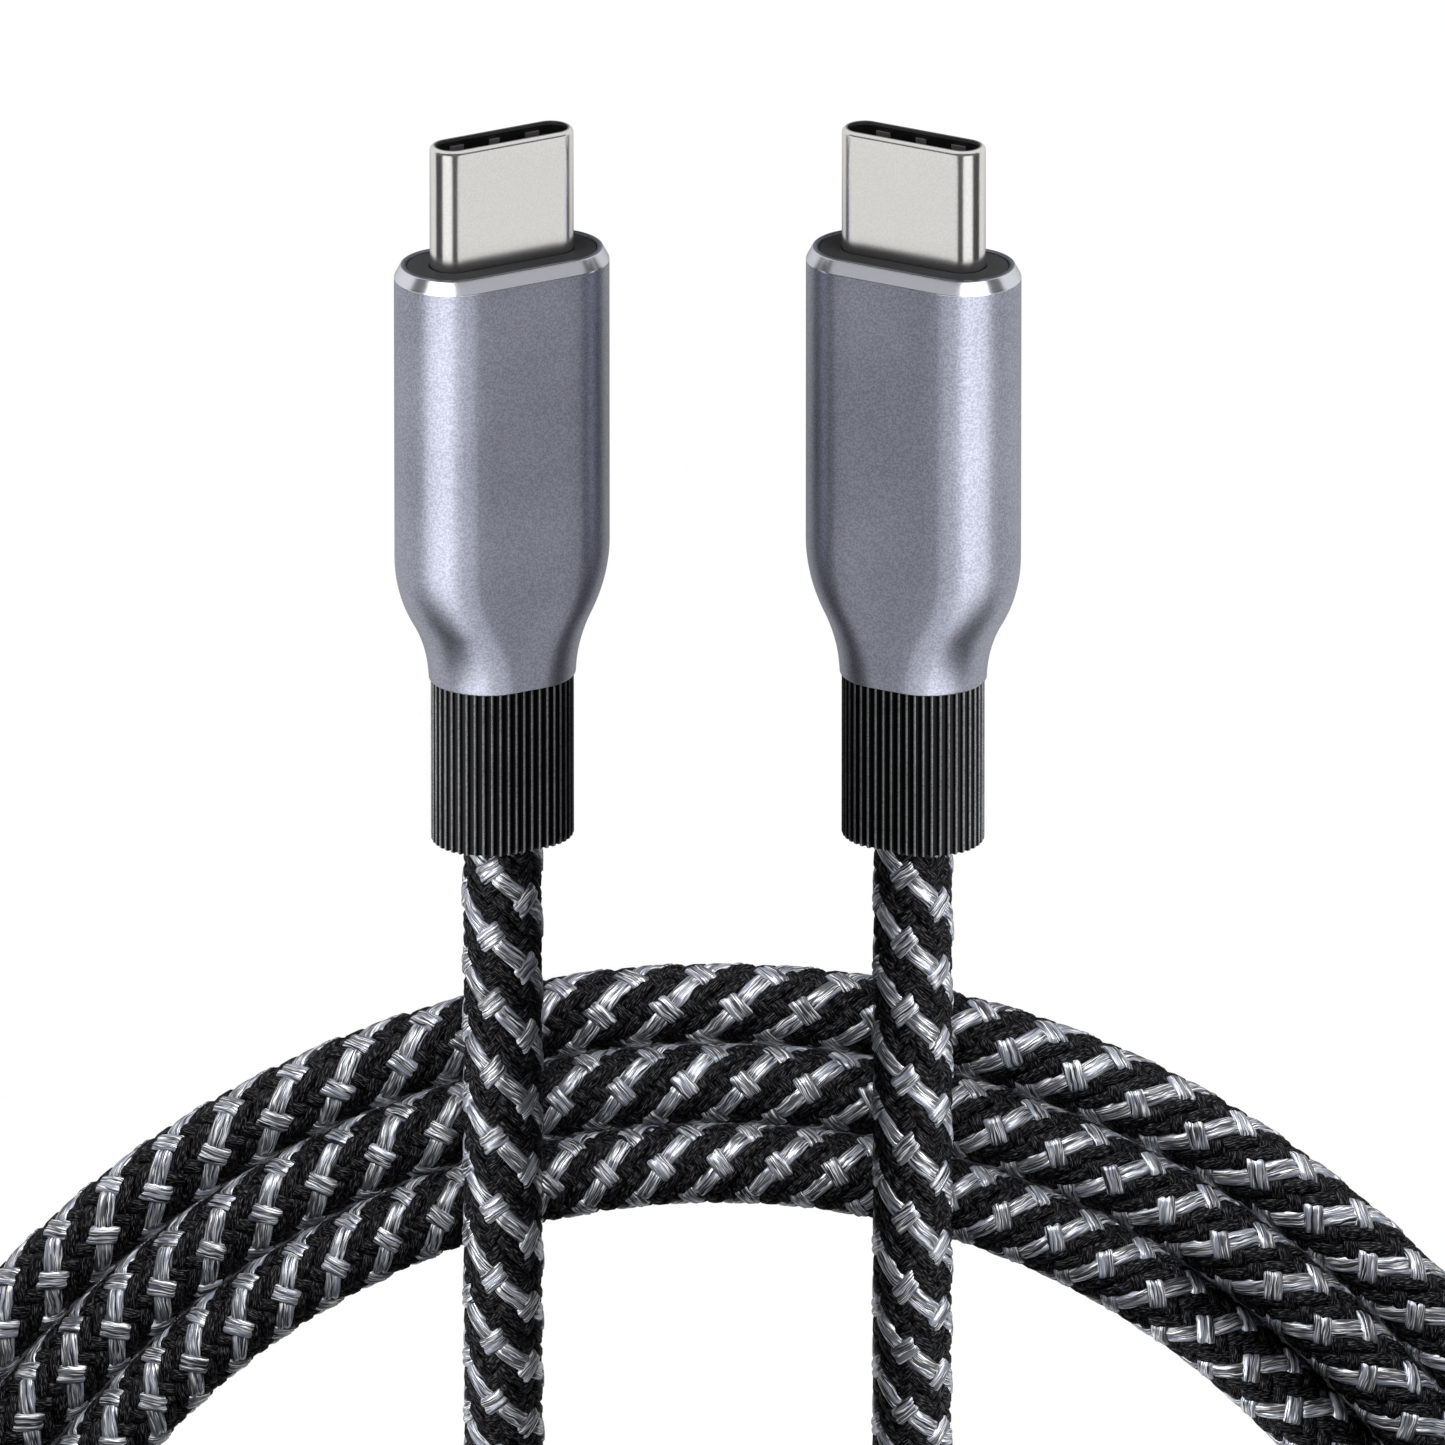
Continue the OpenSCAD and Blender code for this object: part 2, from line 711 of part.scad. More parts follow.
lay(1) housing();  // housing_b
lay(1) front_insert();  // front_insert_b
lay(1) shell();  // shell_b
lay(1) contact_housing();  // contact_housing_b
lay(1) upper_contacts();  // upper_contacts_b
lay(1) lower_contacts();  // lower_contacts_b
lay(1) upper_screen_spring();  // upper_screen_spring_b
lay(1) lower_screen_spring();  // lower_screen_spring_b
lay(1) latch_spring();  // latch_spring_b
lay(1) circuit_board();  // circuit_board_b
lay(1) board_components();  // board_components_b
lay(1) power_wire();  // power_wire_b
lay(1) ground_wire();  // ground_wire_b
lay(1) signal_wires();  // signal_wires_b
lay(1) upper_shield();  // upper_shield_b
lay(1) lower_shield();  // lower_shield_b
lay(1) inner_mould();  // inner_mould_b
lay(1) crimp_ring();  // crimp_ring_b
lay(1) strain_relief();  // strain_relief_b
lay(1) cable_end();  // cable_end_b

lead_a();
coil();
lead_b();
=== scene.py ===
"""Looks of a braided charging cable: two metal plugs on one cord, wound in a flat coil.

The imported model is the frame. The plugs' outsides are finely rounded meshes in the place of their
CAD nodes, the pieces inside keep their CAD meshes with finishes of their own, and the cord is a
core under a braid of single strands, each of which passes over and under the others.
"""

import json
import logging
import math
from dataclasses import dataclass, field
from enum import Enum
from functools import cache
from typing import Callable, Sequence

import bpy
import numpy as np
from mathutils import Matrix, Vector

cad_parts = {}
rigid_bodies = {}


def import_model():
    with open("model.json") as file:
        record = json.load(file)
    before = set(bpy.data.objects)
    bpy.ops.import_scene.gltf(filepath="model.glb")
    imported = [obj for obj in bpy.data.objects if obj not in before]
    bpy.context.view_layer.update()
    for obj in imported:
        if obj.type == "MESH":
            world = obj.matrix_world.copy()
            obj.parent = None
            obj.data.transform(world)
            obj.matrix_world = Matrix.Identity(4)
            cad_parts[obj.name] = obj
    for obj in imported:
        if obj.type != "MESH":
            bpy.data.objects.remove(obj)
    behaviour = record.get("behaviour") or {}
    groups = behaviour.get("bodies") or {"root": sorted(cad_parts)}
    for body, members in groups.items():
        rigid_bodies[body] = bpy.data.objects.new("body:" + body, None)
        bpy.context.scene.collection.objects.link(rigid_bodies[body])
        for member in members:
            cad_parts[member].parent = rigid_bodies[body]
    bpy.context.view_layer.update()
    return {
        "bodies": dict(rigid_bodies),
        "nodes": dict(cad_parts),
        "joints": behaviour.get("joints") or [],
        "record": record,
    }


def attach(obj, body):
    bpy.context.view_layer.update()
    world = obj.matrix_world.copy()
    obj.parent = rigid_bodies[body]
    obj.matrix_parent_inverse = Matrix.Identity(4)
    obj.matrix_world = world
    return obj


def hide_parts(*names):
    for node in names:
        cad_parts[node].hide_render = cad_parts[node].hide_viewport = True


MM = 0.001
LOG = logging.getLogger("cable")
Point = tuple[float, float, float]
Colour = tuple[float, float, float]


# ---- Shader building ----


class NodeSketch:
    """Adds nodes to one node tree and links them."""

    COLUMNS = 12
    STEP = (220.0, -260.0)

    def __init__(self, tree: bpy.types.NodeTree) -> None:
        """Starts with an empty tree of a material, a world or a group."""
        self.tree = tree
        tree.nodes.clear()

    def add(self, kind: str, *values: object, **settings: object) -> bpy.types.Node:
        """Adds a node.

        Args:
            kind: The node's type, without its prefix ShaderNode.
            values: What its first inputs get, in order.
            settings: Attributes to set on it.

        Returns:
            The new node.
        """
        group = kind.startswith("Node")
        node = self.tree.nodes.new(kind if group else "ShaderNode" + kind)
        for key, value in settings.items():
            setattr(node, key, value)
        for socket, value in zip(node.inputs, values):
            self.feed(socket, value)
        row, column = divmod(len(self.tree.nodes), self.COLUMNS)
        node.location = (self.STEP[0] * column, self.STEP[1] * row)
        return node

    def feed(self, socket: bpy.types.NodeSocket, value: object) -> None:
        """Links an output to an input, or sets the input's own value.

        Args:
            socket: The input.
            value: An output socket, a number or a tuple.
        """
        if isinstance(value, bpy.types.NodeSocket):
            self.tree.links.new(value, socket)
        else:
            socket.default_value = value

    def dress(self, node: bpy.types.Node, **values: object) -> bpy.types.Node:
        """Feeds a node's inputs by name.

        Args:
            node: The node.
            values: What each input gets, by its name with spaces as underscores.

        Returns:
            The node.
        """
        for name, value in values.items():
            self.feed(node.inputs[name.replace("_", " ")], value)
        return node

    def math(self, operation: str, *values: object) -> bpy.types.NodeSocket:
        """Adds a Math node and returns its output."""
        return self.add("Math", *values, operation=operation).outputs[0]

    def times(self, first: object, second: object) -> bpy.types.NodeSocket:
        """Multiplies two values."""
        return self.math("MULTIPLY", first, second)

    def ramp(self, value: object, low: float, high: float) -> bpy.types.NodeSocket:
        """Spreads a value smoothly, so that low becomes 0 and high becomes 1."""
        spread = self.add("MapRange", value, low, high, 0.0, 1.0, interpolation_type="SMOOTHSTEP")
        return spread.outputs[0]

    def mix(self, share: object, first: object, second: object) -> bpy.types.NodeSocket:
        """Mixes two colours.

        Args:
            share: How much of the second.
            first: A colour.
            second: A colour.

        Returns:
            The mixed colour.
        """
        node = self.add("Mix", data_type="RGBA")
        for name, value in (("Factor_Float", share), ("A_Color", first), ("B_Color", second)):
            socket = next(s for s in node.inputs if s.identifier == name)
            self.feed(socket, opaque(value) if isinstance(value, tuple) else value)
        return next(s for s in node.outputs if s.identifier == "Result_Color")

    def noise(self, place: object, scale: object, detail: float) -> bpy.types.NodeSocket:
        """Adds a noise texture, whose values lie about 0.5."""
        return self.dress(self.add("TexNoise"), Vector=place, Scale=scale, Detail=detail).outputs[0]

    def combine(self, x: object, y: object) -> bpy.types.NodeSocket:
        """Makes a vector of two values and 0."""
        return self.add("CombineXYZ", x, y, 0.0).outputs[0]

    def group(self, tree: bpy.types.NodeTree, **values: object) -> bpy.types.Node:
        """Places a node group and feeds its inputs by name."""
        return self.dress(self.add("Group", node_tree=tree), **values)

    def show(self, shader: bpy.types.Node, kind: str = "OutputMaterial") -> None:
        """Links a shader to an output of the given kind."""
        self.dress(self.add(kind), Surface=shader.outputs[0])


def new_material(name: str) -> tuple[bpy.types.Material, NodeSketch]:
    """Makes a material.

    Args:
        name: Its name.

    Returns:
        The material and a sketch on its tree.
    """
    material = bpy.data.materials.new(name)
    material.use_nodes = True
    return material, NodeSketch(material.node_tree)


def new_object(name: str, data: bpy.types.ID) -> bpy.types.Object:
    """Makes an object and links it to the scene.

    Args:
        name: Its name.
        data: Its mesh, lamp or camera.

    Returns:
        The object.
    """
    made = bpy.data.objects.new(name, data)
    bpy.context.scene.collection.objects.link(made)
    return made


def opaque(colour: Sequence[float]) -> tuple[float, float, float, float]:
    """Adds an alpha of 1 to a colour."""
    return (colour[0], colour[1], colour[2], 1.0)


def new_group(
    name: str, inputs: dict[str, float], outputs: Sequence[str]
) -> tuple[NodeSketch, bpy.types.Node, bpy.types.Node]:
    """Starts a shader node group of plain values.

    Args:
        name: The group's name.
        inputs: Its inputs and their first values.
        outputs: Its outputs.

    Returns:
        A sketch on its tree, and its input and output nodes.
    """
    tree = bpy.data.node_groups.new(name, "ShaderNodeTree")
    for label, value in inputs.items():
        socket = tree.interface.new_socket(label, in_out="INPUT", socket_type="NodeSocketFloat")
        socket.default_value = value
    for label in outputs:
        tree.interface.new_socket(label, in_out="OUTPUT", socket_type="NodeSocketFloat")
    sketch = NodeSketch(tree)
    return sketch, sketch.add("NodeGroupInput"), sketch.add("NodeGroupOutput")


class Effects:
    """The shader node groups that several finishes share, each built once."""

    @staticmethod
    @cache
    def grain() -> bpy.types.NodeTree:
        """Fine blasted or moulded grain with cloudy patches: Grain, Cloud and Height."""
        given = {"Grain per mm": 20.0, "Cloud per mm": 0.3}
        sketch, source, sink = new_group("surface grain", given, ("Grain", "Cloud", "Height"))
        place = sketch.add("TexCoord").outputs["Object"]
        per_metre, cloud_scale = (sketch.times(source.outputs[label], 1.0 / MM) for label in given)
        fine = sketch.noise(place, per_metre, 1.0)
        coarse = sketch.noise(place, sketch.times(per_metre, 0.37), 2.0)
        cloud = sketch.noise(place, cloud_scale, 3.0)
        both = sketch.math("ADD", sketch.times(fine, 0.8), sketch.times(coarse, 0.2))
        grain, patches = sketch.ramp(both, 0.38, 0.62), sketch.ramp(cloud, 0.3, 0.7)
        sketch.dress(sink, Grain=grain, Cloud=patches, Height=both)
        return sketch.tree

    @staticmethod
    @cache
    def fibre() -> bpy.types.NodeTree:
        """Fibres along a strand, from the strand map: Streak, Fleck, Tone, Side and Height. The yarn
        paints shade between filaments by Streak and glints by Fleck.
        """
        given = {"Fibres": 6.0, "Run": 0.5, "Flecks": 3.0}
        sketch, source, sink = new_group(
            "strand fibre", given, ("Streak", "Fleck", "Tone", "Side", "Height")
        )
        fibres, run, flecks = (source.outputs[label] for label in given)
        split = sketch.add("SeparateXYZ", sketch.add("UVMap", uv_map="strand").outputs[0])
        along, across = split.outputs[0], split.outputs[1]
        # Filaments wander a little across the strand
        sway = sketch.noise(sketch.combine(sketch.times(along, 0.9), across), 1.0, 1.0)
        fibre_y = sketch.times(sketch.math("MULTIPLY_ADD", sway, 0.5, across), fibres)
        streak = sketch.noise(sketch.combine(sketch.times(along, run), fibre_y), 1.0, 2.0)
        fleck_at = sketch.combine(sketch.times(along, flecks), sketch.times(fibre_y, 2.0))
        fleck = sketch.noise(fleck_at, 1.0, 1.0)
        tone = sketch.noise(sketch.combine(sketch.times(along, 0.12), 0.0), 1.0, 0.0)
        sketch.dress(
            sink,
            Streak=sketch.ramp(streak, 0.42, 0.58),
            Fleck=sketch.ramp(fleck, 0.53, 0.66),
            Tone=sketch.ramp(tone, 0.3, 0.7),
            Side=sketch.ramp(across, -0.25, 0.1),
            Height=sketch.math("MULTIPLY_ADD", fleck, 0.35, streak),
        )
        return sketch.tree


# ---- Finishes ----


@dataclass(frozen=True)
class Surface:
    """What every finish sets on its shader."""

    name: str
    metallic: float = field(default=0.0, kw_only=True)
    specular: float = field(default=0.5, kw_only=True)
    coat: float = field(default=0.0, kw_only=True)
    bump: float = field(default=0.2, kw_only=True)
    bump_mm: float = field(default=0.01, kw_only=True)

    def shade(self, sketch: NodeSketch, colour: object, roughness: object, height: object) -> None:
        """Adds the shader, with its bump and output.

        Args:
            sketch: The sketch of the material.
            colour: The base colour.
            roughness: The roughness.
            height: The height that the bump follows.
        """
        bump = sketch.dress(
            sketch.add("Bump"), Strength=self.bump, Distance=self.bump_mm * MM, Height=height
        )
        shader = sketch.dress(
            sketch.add("BsdfPrincipled"),
            Base_Color=colour,
            Roughness=roughness,
            Metallic=self.metallic,
            Specular_IOR_Level=self.specular,
            Coat_Weight=self.coat,
            Normal=bump.outputs[0],
        )
        sketch.show(shader)


@dataclass(frozen=True)
class GrainedFinish(Surface):
    """A moulded, plated or blasted surface: two tones and grain."""

    dark: Colour
    light: Colour
    smooth: float = 0.35
    rough: float = 0.5
    grain_per_mm: float = 20.0
    cloud_per_mm: float = 0.3

    def build(self) -> bpy.types.Material:
        """Makes and returns the material."""
        material, sketch = new_material(self.name)
        grain = sketch.group(
            Effects.grain(), Grain_per_mm=self.grain_per_mm, Cloud_per_mm=self.cloud_per_mm
        ).outputs
        patches = sketch.times(grain["Cloud"], 0.35)
        blend = sketch.math("MULTIPLY_ADD", grain["Grain"], 0.65, patches)
        roughness = sketch.math("MULTIPLY_ADD", grain["Cloud"], self.rough - self.smooth, self.smooth)
        self.shade(sketch, sketch.mix(blend, self.dark, self.light), roughness, grain["Height"])
        return material


@dataclass(frozen=True)
class YarnFinish(Surface):
    """A strand of the braid: fibres that run along it, with painted shade between the filaments and
    painted glints on flecked fibres.
    """

    deep: Colour
    body: Colour
    bright: Colour
    fibres: float
    run: float
    flecks: float
    fleck_share: float
    dull_side: float
    roughness: float
    dull: Colour = (0.0, 0.0, 0.0)

    def build(self) -> bpy.types.Material:
        """Makes and returns the material."""
        material, sketch = new_material(self.name)
        out = sketch.group(
            Effects.fibre(), Fibres=self.fibres, Run=self.run, Flecks=self.flecks
        ).outputs
        # Painted shade: the gaps between filaments take a near-black colour that stands in for the
        # shade falling there
        base = sketch.mix(out["Streak"], self.deep, self.body)
        # One of the two sides of a strand is duller than the other
        dull = sketch.times(out["Side"], sketch.times(out["Tone"], self.dull_side))
        base = sketch.mix(dull, base, self.dull)
        # Painted glints: flecked fibres take a pale colour that stands in for the highlights they catch
        lit = sketch.times(out["Fleck"], self.fleck_share)
        roughness = sketch.math("MULTIPLY_ADD", out["Streak"], -0.12, self.roughness)
        self.shade(sketch, sketch.mix(lit, base, self.bright), roughness, out["Height"])
        return material


class Finish(Enum):
    """Every finish of the cable."""

    ALUMINIUM = GrainedFinish(
        "anodised aluminium", (0.22, 0.229, 0.28), (0.365, 0.378, 0.445), metallic=1.0,
        smooth=0.36, rough=0.39, grain_per_mm=9.0, cloud_per_mm=0.12, bump=0.5, bump_mm=0.01,
    )
    CHAMFER = GrainedFinish(
        "cut chamfer", (0.62, 0.635, 0.685), (0.66, 0.675, 0.725), metallic=1.0,
        smooth=0.2, rough=0.22, grain_per_mm=30.0, bump=0.01, bump_mm=0.002,
    )
    INSERT = GrainedFinish(
        "front insert", (0.075, 0.076, 0.08), (0.11, 0.112, 0.117),
        smooth=0.42, rough=0.5, grain_per_mm=25.0, bump=0.2, bump_mm=0.008, specular=0.05,
    )
    NICKEL = GrainedFinish(
        "nickel plate", (0.66, 0.645, 0.62), (0.72, 0.705, 0.68), metallic=1.0,
        smooth=0.2, rough=0.23, grain_per_mm=9.0, cloud_per_mm=0.2, bump=0.01, bump_mm=0.002,
    )
    # Painted dark reflection: a dark copy of the nickel for the shell's rim end face and the mouth of
    # its bore
    SHELL_EDGE = GrainedFinish(
        "shell edge", (0.2, 0.2, 0.198), (0.28, 0.28, 0.276), metallic=0.7, smooth=0.35, rough=0.45,
    )
    # The contact housing's plastic, also laid on the shell's bore deeper in as painted shade inside the
    # mouth
    CONTACT_PLASTIC = GrainedFinish(
        "contact plastic", (0.012, 0.012, 0.013), (0.03, 0.03, 0.032), smooth=0.35, rough=0.5,
    )
    GOLD = GrainedFinish(
        "gold plate", (0.78, 0.52, 0.18), (0.92, 0.68, 0.3), metallic=1.0, smooth=0.2, rough=0.3,
    )
    SPRING = GrainedFinish(
        "spring steel", (0.3, 0.3, 0.3), (0.5, 0.5, 0.49), metallic=1.0, smooth=0.28, rough=0.4,
    )
    TAB = GrainedFinish(
        "spring tab", (0.6, 0.6, 0.6), (0.75, 0.75, 0.74), metallic=0.6, smooth=0.4, rough=0.5,
    )
    BOARD = GrainedFinish(
        "board laminate", (0.008, 0.07, 0.03), (0.015, 0.12, 0.055), smooth=0.25, rough=0.4,
        grain_per_mm=6.0, coat=0.3,
    )
    CHIP = GrainedFinish("chip plastic", (0.015, 0.015, 0.016), (0.035, 0.035, 0.037), bump=0.4)
    CAPACITOR = GrainedFinish("capacitor", (0.3, 0.2, 0.12), (0.42, 0.3, 0.18), grain_per_mm=15.0)
    WIRE_RED = GrainedFinish("red wire", (0.45, 0.02, 0.015), (0.6, 0.035, 0.03), smooth=0.3)
    WIRE_BLACK = GrainedFinish("black wire", (0.012, 0.012, 0.012), (0.025, 0.025, 0.025), smooth=0.3)
    WIRE_GREEN = GrainedFinish("green wire", (0.02, 0.25, 0.06), (0.035, 0.36, 0.1), smooth=0.3)
    TIN = GrainedFinish(
        "tinned steel", (0.5, 0.51, 0.52), (0.66, 0.67, 0.68), metallic=1.0, smooth=0.28, rough=0.42,
        cloud_per_mm=1.2,
    )
    MOULD = GrainedFinish("inner mould", (0.62, 0.6, 0.53), (0.74, 0.72, 0.65), smooth=0.4, rough=0.55)
    RUBBER = GrainedFinish(
        "relief rubber", (0.003, 0.003, 0.0036), (0.007, 0.007, 0.008), smooth=0.5, rough=0.6,
        grain_per_mm=16.0, bump=0.3, bump_mm=0.008, specular=0.12,
    )
    # Painted highlight: a paler copy of the relief rubber for the rib crests, standing in for the light
    # they catch
    RIB = GrainedFinish(
        "rib crest", (0.07, 0.071, 0.076), (0.22, 0.223, 0.234), smooth=0.5, rough=0.6,
        grain_per_mm=12.0, bump=0.3, bump_mm=0.01, specular=0.2,
    )
    CORE = GrainedFinish(
        "braid core", (0.006, 0.006, 0.007), (0.014, 0.014, 0.015), smooth=0.7, rough=0.85,
        grain_per_mm=12.0, bump=0.6, bump_mm=0.03,
    )
    # Of each yarn's three colours, the first is painted shade between filaments and the third painted
    # glints on flecked fibres
    BLACK_YARN = YarnFinish(
        "black yarn", (0.0006, 0.0006, 0.0008), (0.004, 0.004, 0.005), (0.16, 0.16, 0.175),
        fibres=5.0, run=1.2, flecks=2.6, fleck_share=0.42, dull_side=0.3, roughness=0.6,
        bump=1.0, bump_mm=0.05, specular=0.05,
    )
    SILVER_YARN = YarnFinish(
        "silver yarn", (0.012, 0.013, 0.018), (0.36, 0.385, 0.46), (0.97, 0.98, 1.0),
        fibres=4.0, run=0.3, flecks=0.8, fleck_share=1.0, dull_side=0.9, roughness=0.36,
        bump=1.0, bump_mm=0.06, dull=(0.1, 0.103, 0.112), specular=0.8, metallic=0.3, coat=0.3,
    )

    def material(self) -> bpy.types.Material:
        """Returns the finish's material, made the first time it is asked for."""
        found = bpy.data.materials.get(self.value.name)
        return found or self.value.build()


# ---- Meshes ----


@dataclass
class MeshPlan:
    """Points, quads and end caps of a mesh, with its maps and the finish of each face."""

    points: np.ndarray
    quads: np.ndarray
    caps: list[list[int]] = field(default_factory=list)
    finish_of_face: np.ndarray | None = None
    maps: dict[str, np.ndarray] = field(default_factory=dict)

    def build(self, name: str, finishes: Sequence[Finish]) -> bpy.types.Object:
        """Makes the object, smooth shaded.

        Args:
            name: The object's name.
            finishes: Its finishes, in the order that finish_of_face counts.

        Returns:
            The object.
        """
        mesh = bpy.data.meshes.new(name)
        cap_loops = [index for cap in self.caps for index in cap]
        loops = np.concatenate([self.quads.ravel(), np.array(cap_loops, int)]).astype(np.int32)
        sizes = np.array([4] * len(self.quads) + [len(cap) for cap in self.caps], np.int32)
        mesh.vertices.add(len(self.points))
        mesh.vertices.foreach_set("co", self.points.astype(np.float32).ravel())
        mesh.loops.add(len(loops))
        mesh.loops.foreach_set("vertex_index", loops)
        mesh.polygons.add(len(sizes))
        starts = np.concatenate([[0], np.cumsum(sizes)[:-1]]).astype(np.int32)
        mesh.polygons.foreach_set("loop_start", starts)
        mesh.polygons.foreach_set("use_smooth", np.ones(len(sizes), bool))
        if self.finish_of_face is not None:
            mesh.polygons.foreach_set("material_index", self.finish_of_face.astype(np.int32))
        for label, values in self.maps.items():
            layer = mesh.uv_layers.new(name=label)
            layer.data.foreach_set("uv", values.astype(np.float32).ravel())
        mesh.update(calc_edges=True)
        mesh.validate()
        for finish in finishes:
            mesh.materials.append(finish.material())
        return new_object(name, mesh)


def ring_quads(rings: int, around: int, closed: bool) -> np.ndarray:
    """Quads between rings of points.

    Args:
        rings: How many rings there are.
        around: Points in each ring.
        closed: Whether the last ring joins the first.

    Returns:
        One row of four indices for each quad.
    """
    i, k = np.meshgrid(np.arange(rings if closed else rings - 1), np.arange(around), indexing="ij")
    after, beside = (i + 1) % rings, (k + 1) % around
    corners = (i * around + k, i * around + beside, after * around + beside, after * around + k)
    return np.stack(corners, axis=-1).reshape(-1, 4)


def end_caps(begin: int, rings: int, around: int) -> list[list[int]]:
    """Faces that close a tube of rings at its two ends, from the index of its first point."""
    last = begin + (rings - 1) * around
    return [list(range(begin, begin + around)), list(range(last + around - 1, last - 1, -1))]


# ---- Cord ----


@dataclass(frozen=True)
class CordRoute:
    """The cord's way from plug a over and through the coil to plug b, in metres."""

    diameter: float = 0.0042
    plug_x: float = 0.0108
    start_y: float = -0.019555
    start_z: float = 0.005948
    dip: float = math.radians(2.65)
    over_coil: tuple[tuple[float, float], ...] = (
        (-0.026, 0.00625), (-0.032, 0.00655), (-0.0375, 0.0067), (-0.043, 0.00655),
        (-0.048, 0.0056), (-0.053, 0.0042), (-0.058, 0.003), (-0.063, 0.00225),
    )
    inner_run: tuple[Point, ...] = (
        (-0.0108, -0.0693, 0.0021), (-0.0097, -0.0763, 0.0021), (-0.0064, -0.0825, 0.0021),
        (-0.0013, -0.0874, 0.0021), (0.0051, -0.0904, 0.0021), (0.0121, -0.0913, 0.0021),
        (0.019, -0.0899, 0.0021),
    )
    outer_run: tuple[Point, ...] = (
        (-0.0413, -0.0872, 0.003), (-0.0377, -0.0918, 0.0043), (-0.0329, -0.0952, 0.0057),
        (-0.0275, -0.0978, 0.0064), (-0.0215, -0.0994, 0.0067), (-0.0153, -0.0999, 0.0068),
        (-0.0092, -0.0992, 0.0068), (-0.0034, -0.0972, 0.0068), (0.0017, -0.0938, 0.0068),
        (0.0057, -0.0894, 0.0066), (0.0086, -0.0844, 0.0061), (0.0103, -0.079, 0.0051),
        (0.011, -0.0738, 0.0033), (0.0108, -0.0684, 0.0023),
    )
    centre: tuple[float, float] = (0.00053, -0.08638)
    top_r: float = 0.04683
    side_r: float = 0.0208
    top_half: float = math.radians(52)
    bottom_half: float = math.radians(43)
    pitch: float = 0.00423
    stretch: float = 1.0876
    passes: int = 3
    first: float = -52.0
    last: float = 918.0
    rings_per_turn: int = 24

    def _out(self, angle: float) -> float:
        """How far a point of the coil lies outside the middle turn.

        Args:
            angle: Its angle in degrees.

        Returns:
            The distance.
        """
        half = math.degrees(self.top_half)
        turned = angle - 90.0 + half
        whole = math.floor(turned / 360.0)
        rest = turned - 360.0 * whole
        grown = max(0.0, (rest - 2 * half) / (360.0 - 2 * half))
        return self.pitch * (whole - (self.passes - 1) / 2 + grown)

    def coil_point(self, angle: float) -> np.ndarray:
        """A point of the coil.

        Args:
            angle: Its angle in degrees.

        Returns:
            The point.
        """
        out, a = self._out(angle), math.radians(angle)
        way = np.array([math.cos(a), math.sin(a)])
        side_x = (self.top_r - self.side_r) * math.sin(self.top_half)
        side_y = (self.top_r - self.side_r) * math.cos(self.top_half)
        bottom_r = self.side_r + side_x / math.sin(self.bottom_half)
        bottom_y = side_y + (bottom_r - self.side_r) * math.cos(self.bottom_half)
        off_top = angle - 90.0 - 360.0 * round((angle - 90.0) / 360.0)
        if abs(off_top) <= math.degrees(self.top_half):
            flat = (self.top_r + out) * way
        elif abs(off_top) >= 180.0 - math.degrees(self.bottom_half):
            flat = np.array([0.0, bottom_y]) + (bottom_r + out) * way
        else:
            centre = np.array([-side_x if off_top > 0 else side_x, side_y])
            flat = centre + (self.side_r + out) * way
        x, y = self.centre[0] + flat[0], self.centre[1] + self.stretch * flat[1]
        return np.array([x, y, self.diameter / 2])

    def _coil_way(self, angle: float) -> np.ndarray:
        """The direction of the coil at an angle in degrees."""
        step = self.coil_point(angle + 0.5) - self.coil_point(angle - 0.5)
        return step / np.linalg.norm(step)

    def knots(self) -> np.ndarray:
        """The route's points, from plug a to plug b.

        Returns:
            One row for each point.
        """
        steps = round((self.last - self.first) / 360.0 * self.rings_per_turn)
        start, end = self.coil_point(self.first), self.coil_point(self.last)
        rows: list[Sequence[float]] = [(-self.plug_x, self.start_y, self.start_z)]
        rows += [(-self.plug_x, y, z) for y, z in self.over_coil]
        rows += list(self.inner_run)
        rows.append(start - self.diameter * self._coil_way(self.first))
        rows += [self.coil_point(a) for a in np.linspace(self.first, self.last, steps + 1)]
        rows.append(end + self.diameter * self._coil_way(self.last))
        rows += list(self.outer_run)
        rows += [(self.plug_x, y, z) for y, z in reversed(self.over_coil)]
        rows.append((self.plug_x, self.start_y, self.start_z))
        return np.array([tuple(row) for row in rows])

    def line(self, spacing: float = 0.00025) -> np.ndarray:
        """A smooth curve through the route's points.

        Args:
            spacing: Distance between its points.

        Returns:
            One row for each point.
        """
        knots = self.knots()
        way = np.array([0.0, -math.cos(self.dip), math.sin(self.dip)]) * self.diameter
        padded = np.vstack([knots[0] - way, knots, knots[-1] - way])
        dense = [segment for i in range(len(knots) - 1) for segment in spline(padded[i : i + 4])]
        dense_line = np.array(dense + [knots[-1]])
        dense_line[:, 2] = np.maximum(dense_line[:, 2], self.diameter / 2)
        gone = travelled(dense_line)
        even = np.linspace(0.0, gone[-1], round(gone[-1] / spacing) + 1)
        return np.stack([np.interp(even, gone, dense_line[:, k]) for k in range(3)], axis=1)


def spline(four: np.ndarray, steps: int = 24) -> list[np.ndarray]:
    """Points of a centripetal spline between the middle two of four points.

    Args:
        four: The points.
        steps: How many points to make.

    Returns:
        The points, the last one left out.
    """
    gaps = [math.sqrt(np.linalg.norm(four[k + 1] - four[k])) for k in range(3)]
    t = np.concatenate([[0.0], np.cumsum(gaps)])
    found = []
    for now in np.linspace(t[1], t[2], steps, endpoint=False):
        level = list(four)
        for order in (1, 2):
            level = [
                (t[k + order] - now) / (t[k + order] - t[k]) * level[k]
                + (now - t[k]) / (t[k + order] - t[k]) * level[k + 1]
                for k in range(4 - order)
            ]
        share = (now - t[1]) / (t[2] - t[1])
        found.append(level[0] * (1 - share) + level[1] * share)
    return found


def travelled(line: np.ndarray) -> np.ndarray:
    """Distance along a line up to each of its points."""
    return np.concatenate([[0.0], np.cumsum(np.linalg.norm(np.diff(line, axis=0), axis=1))])


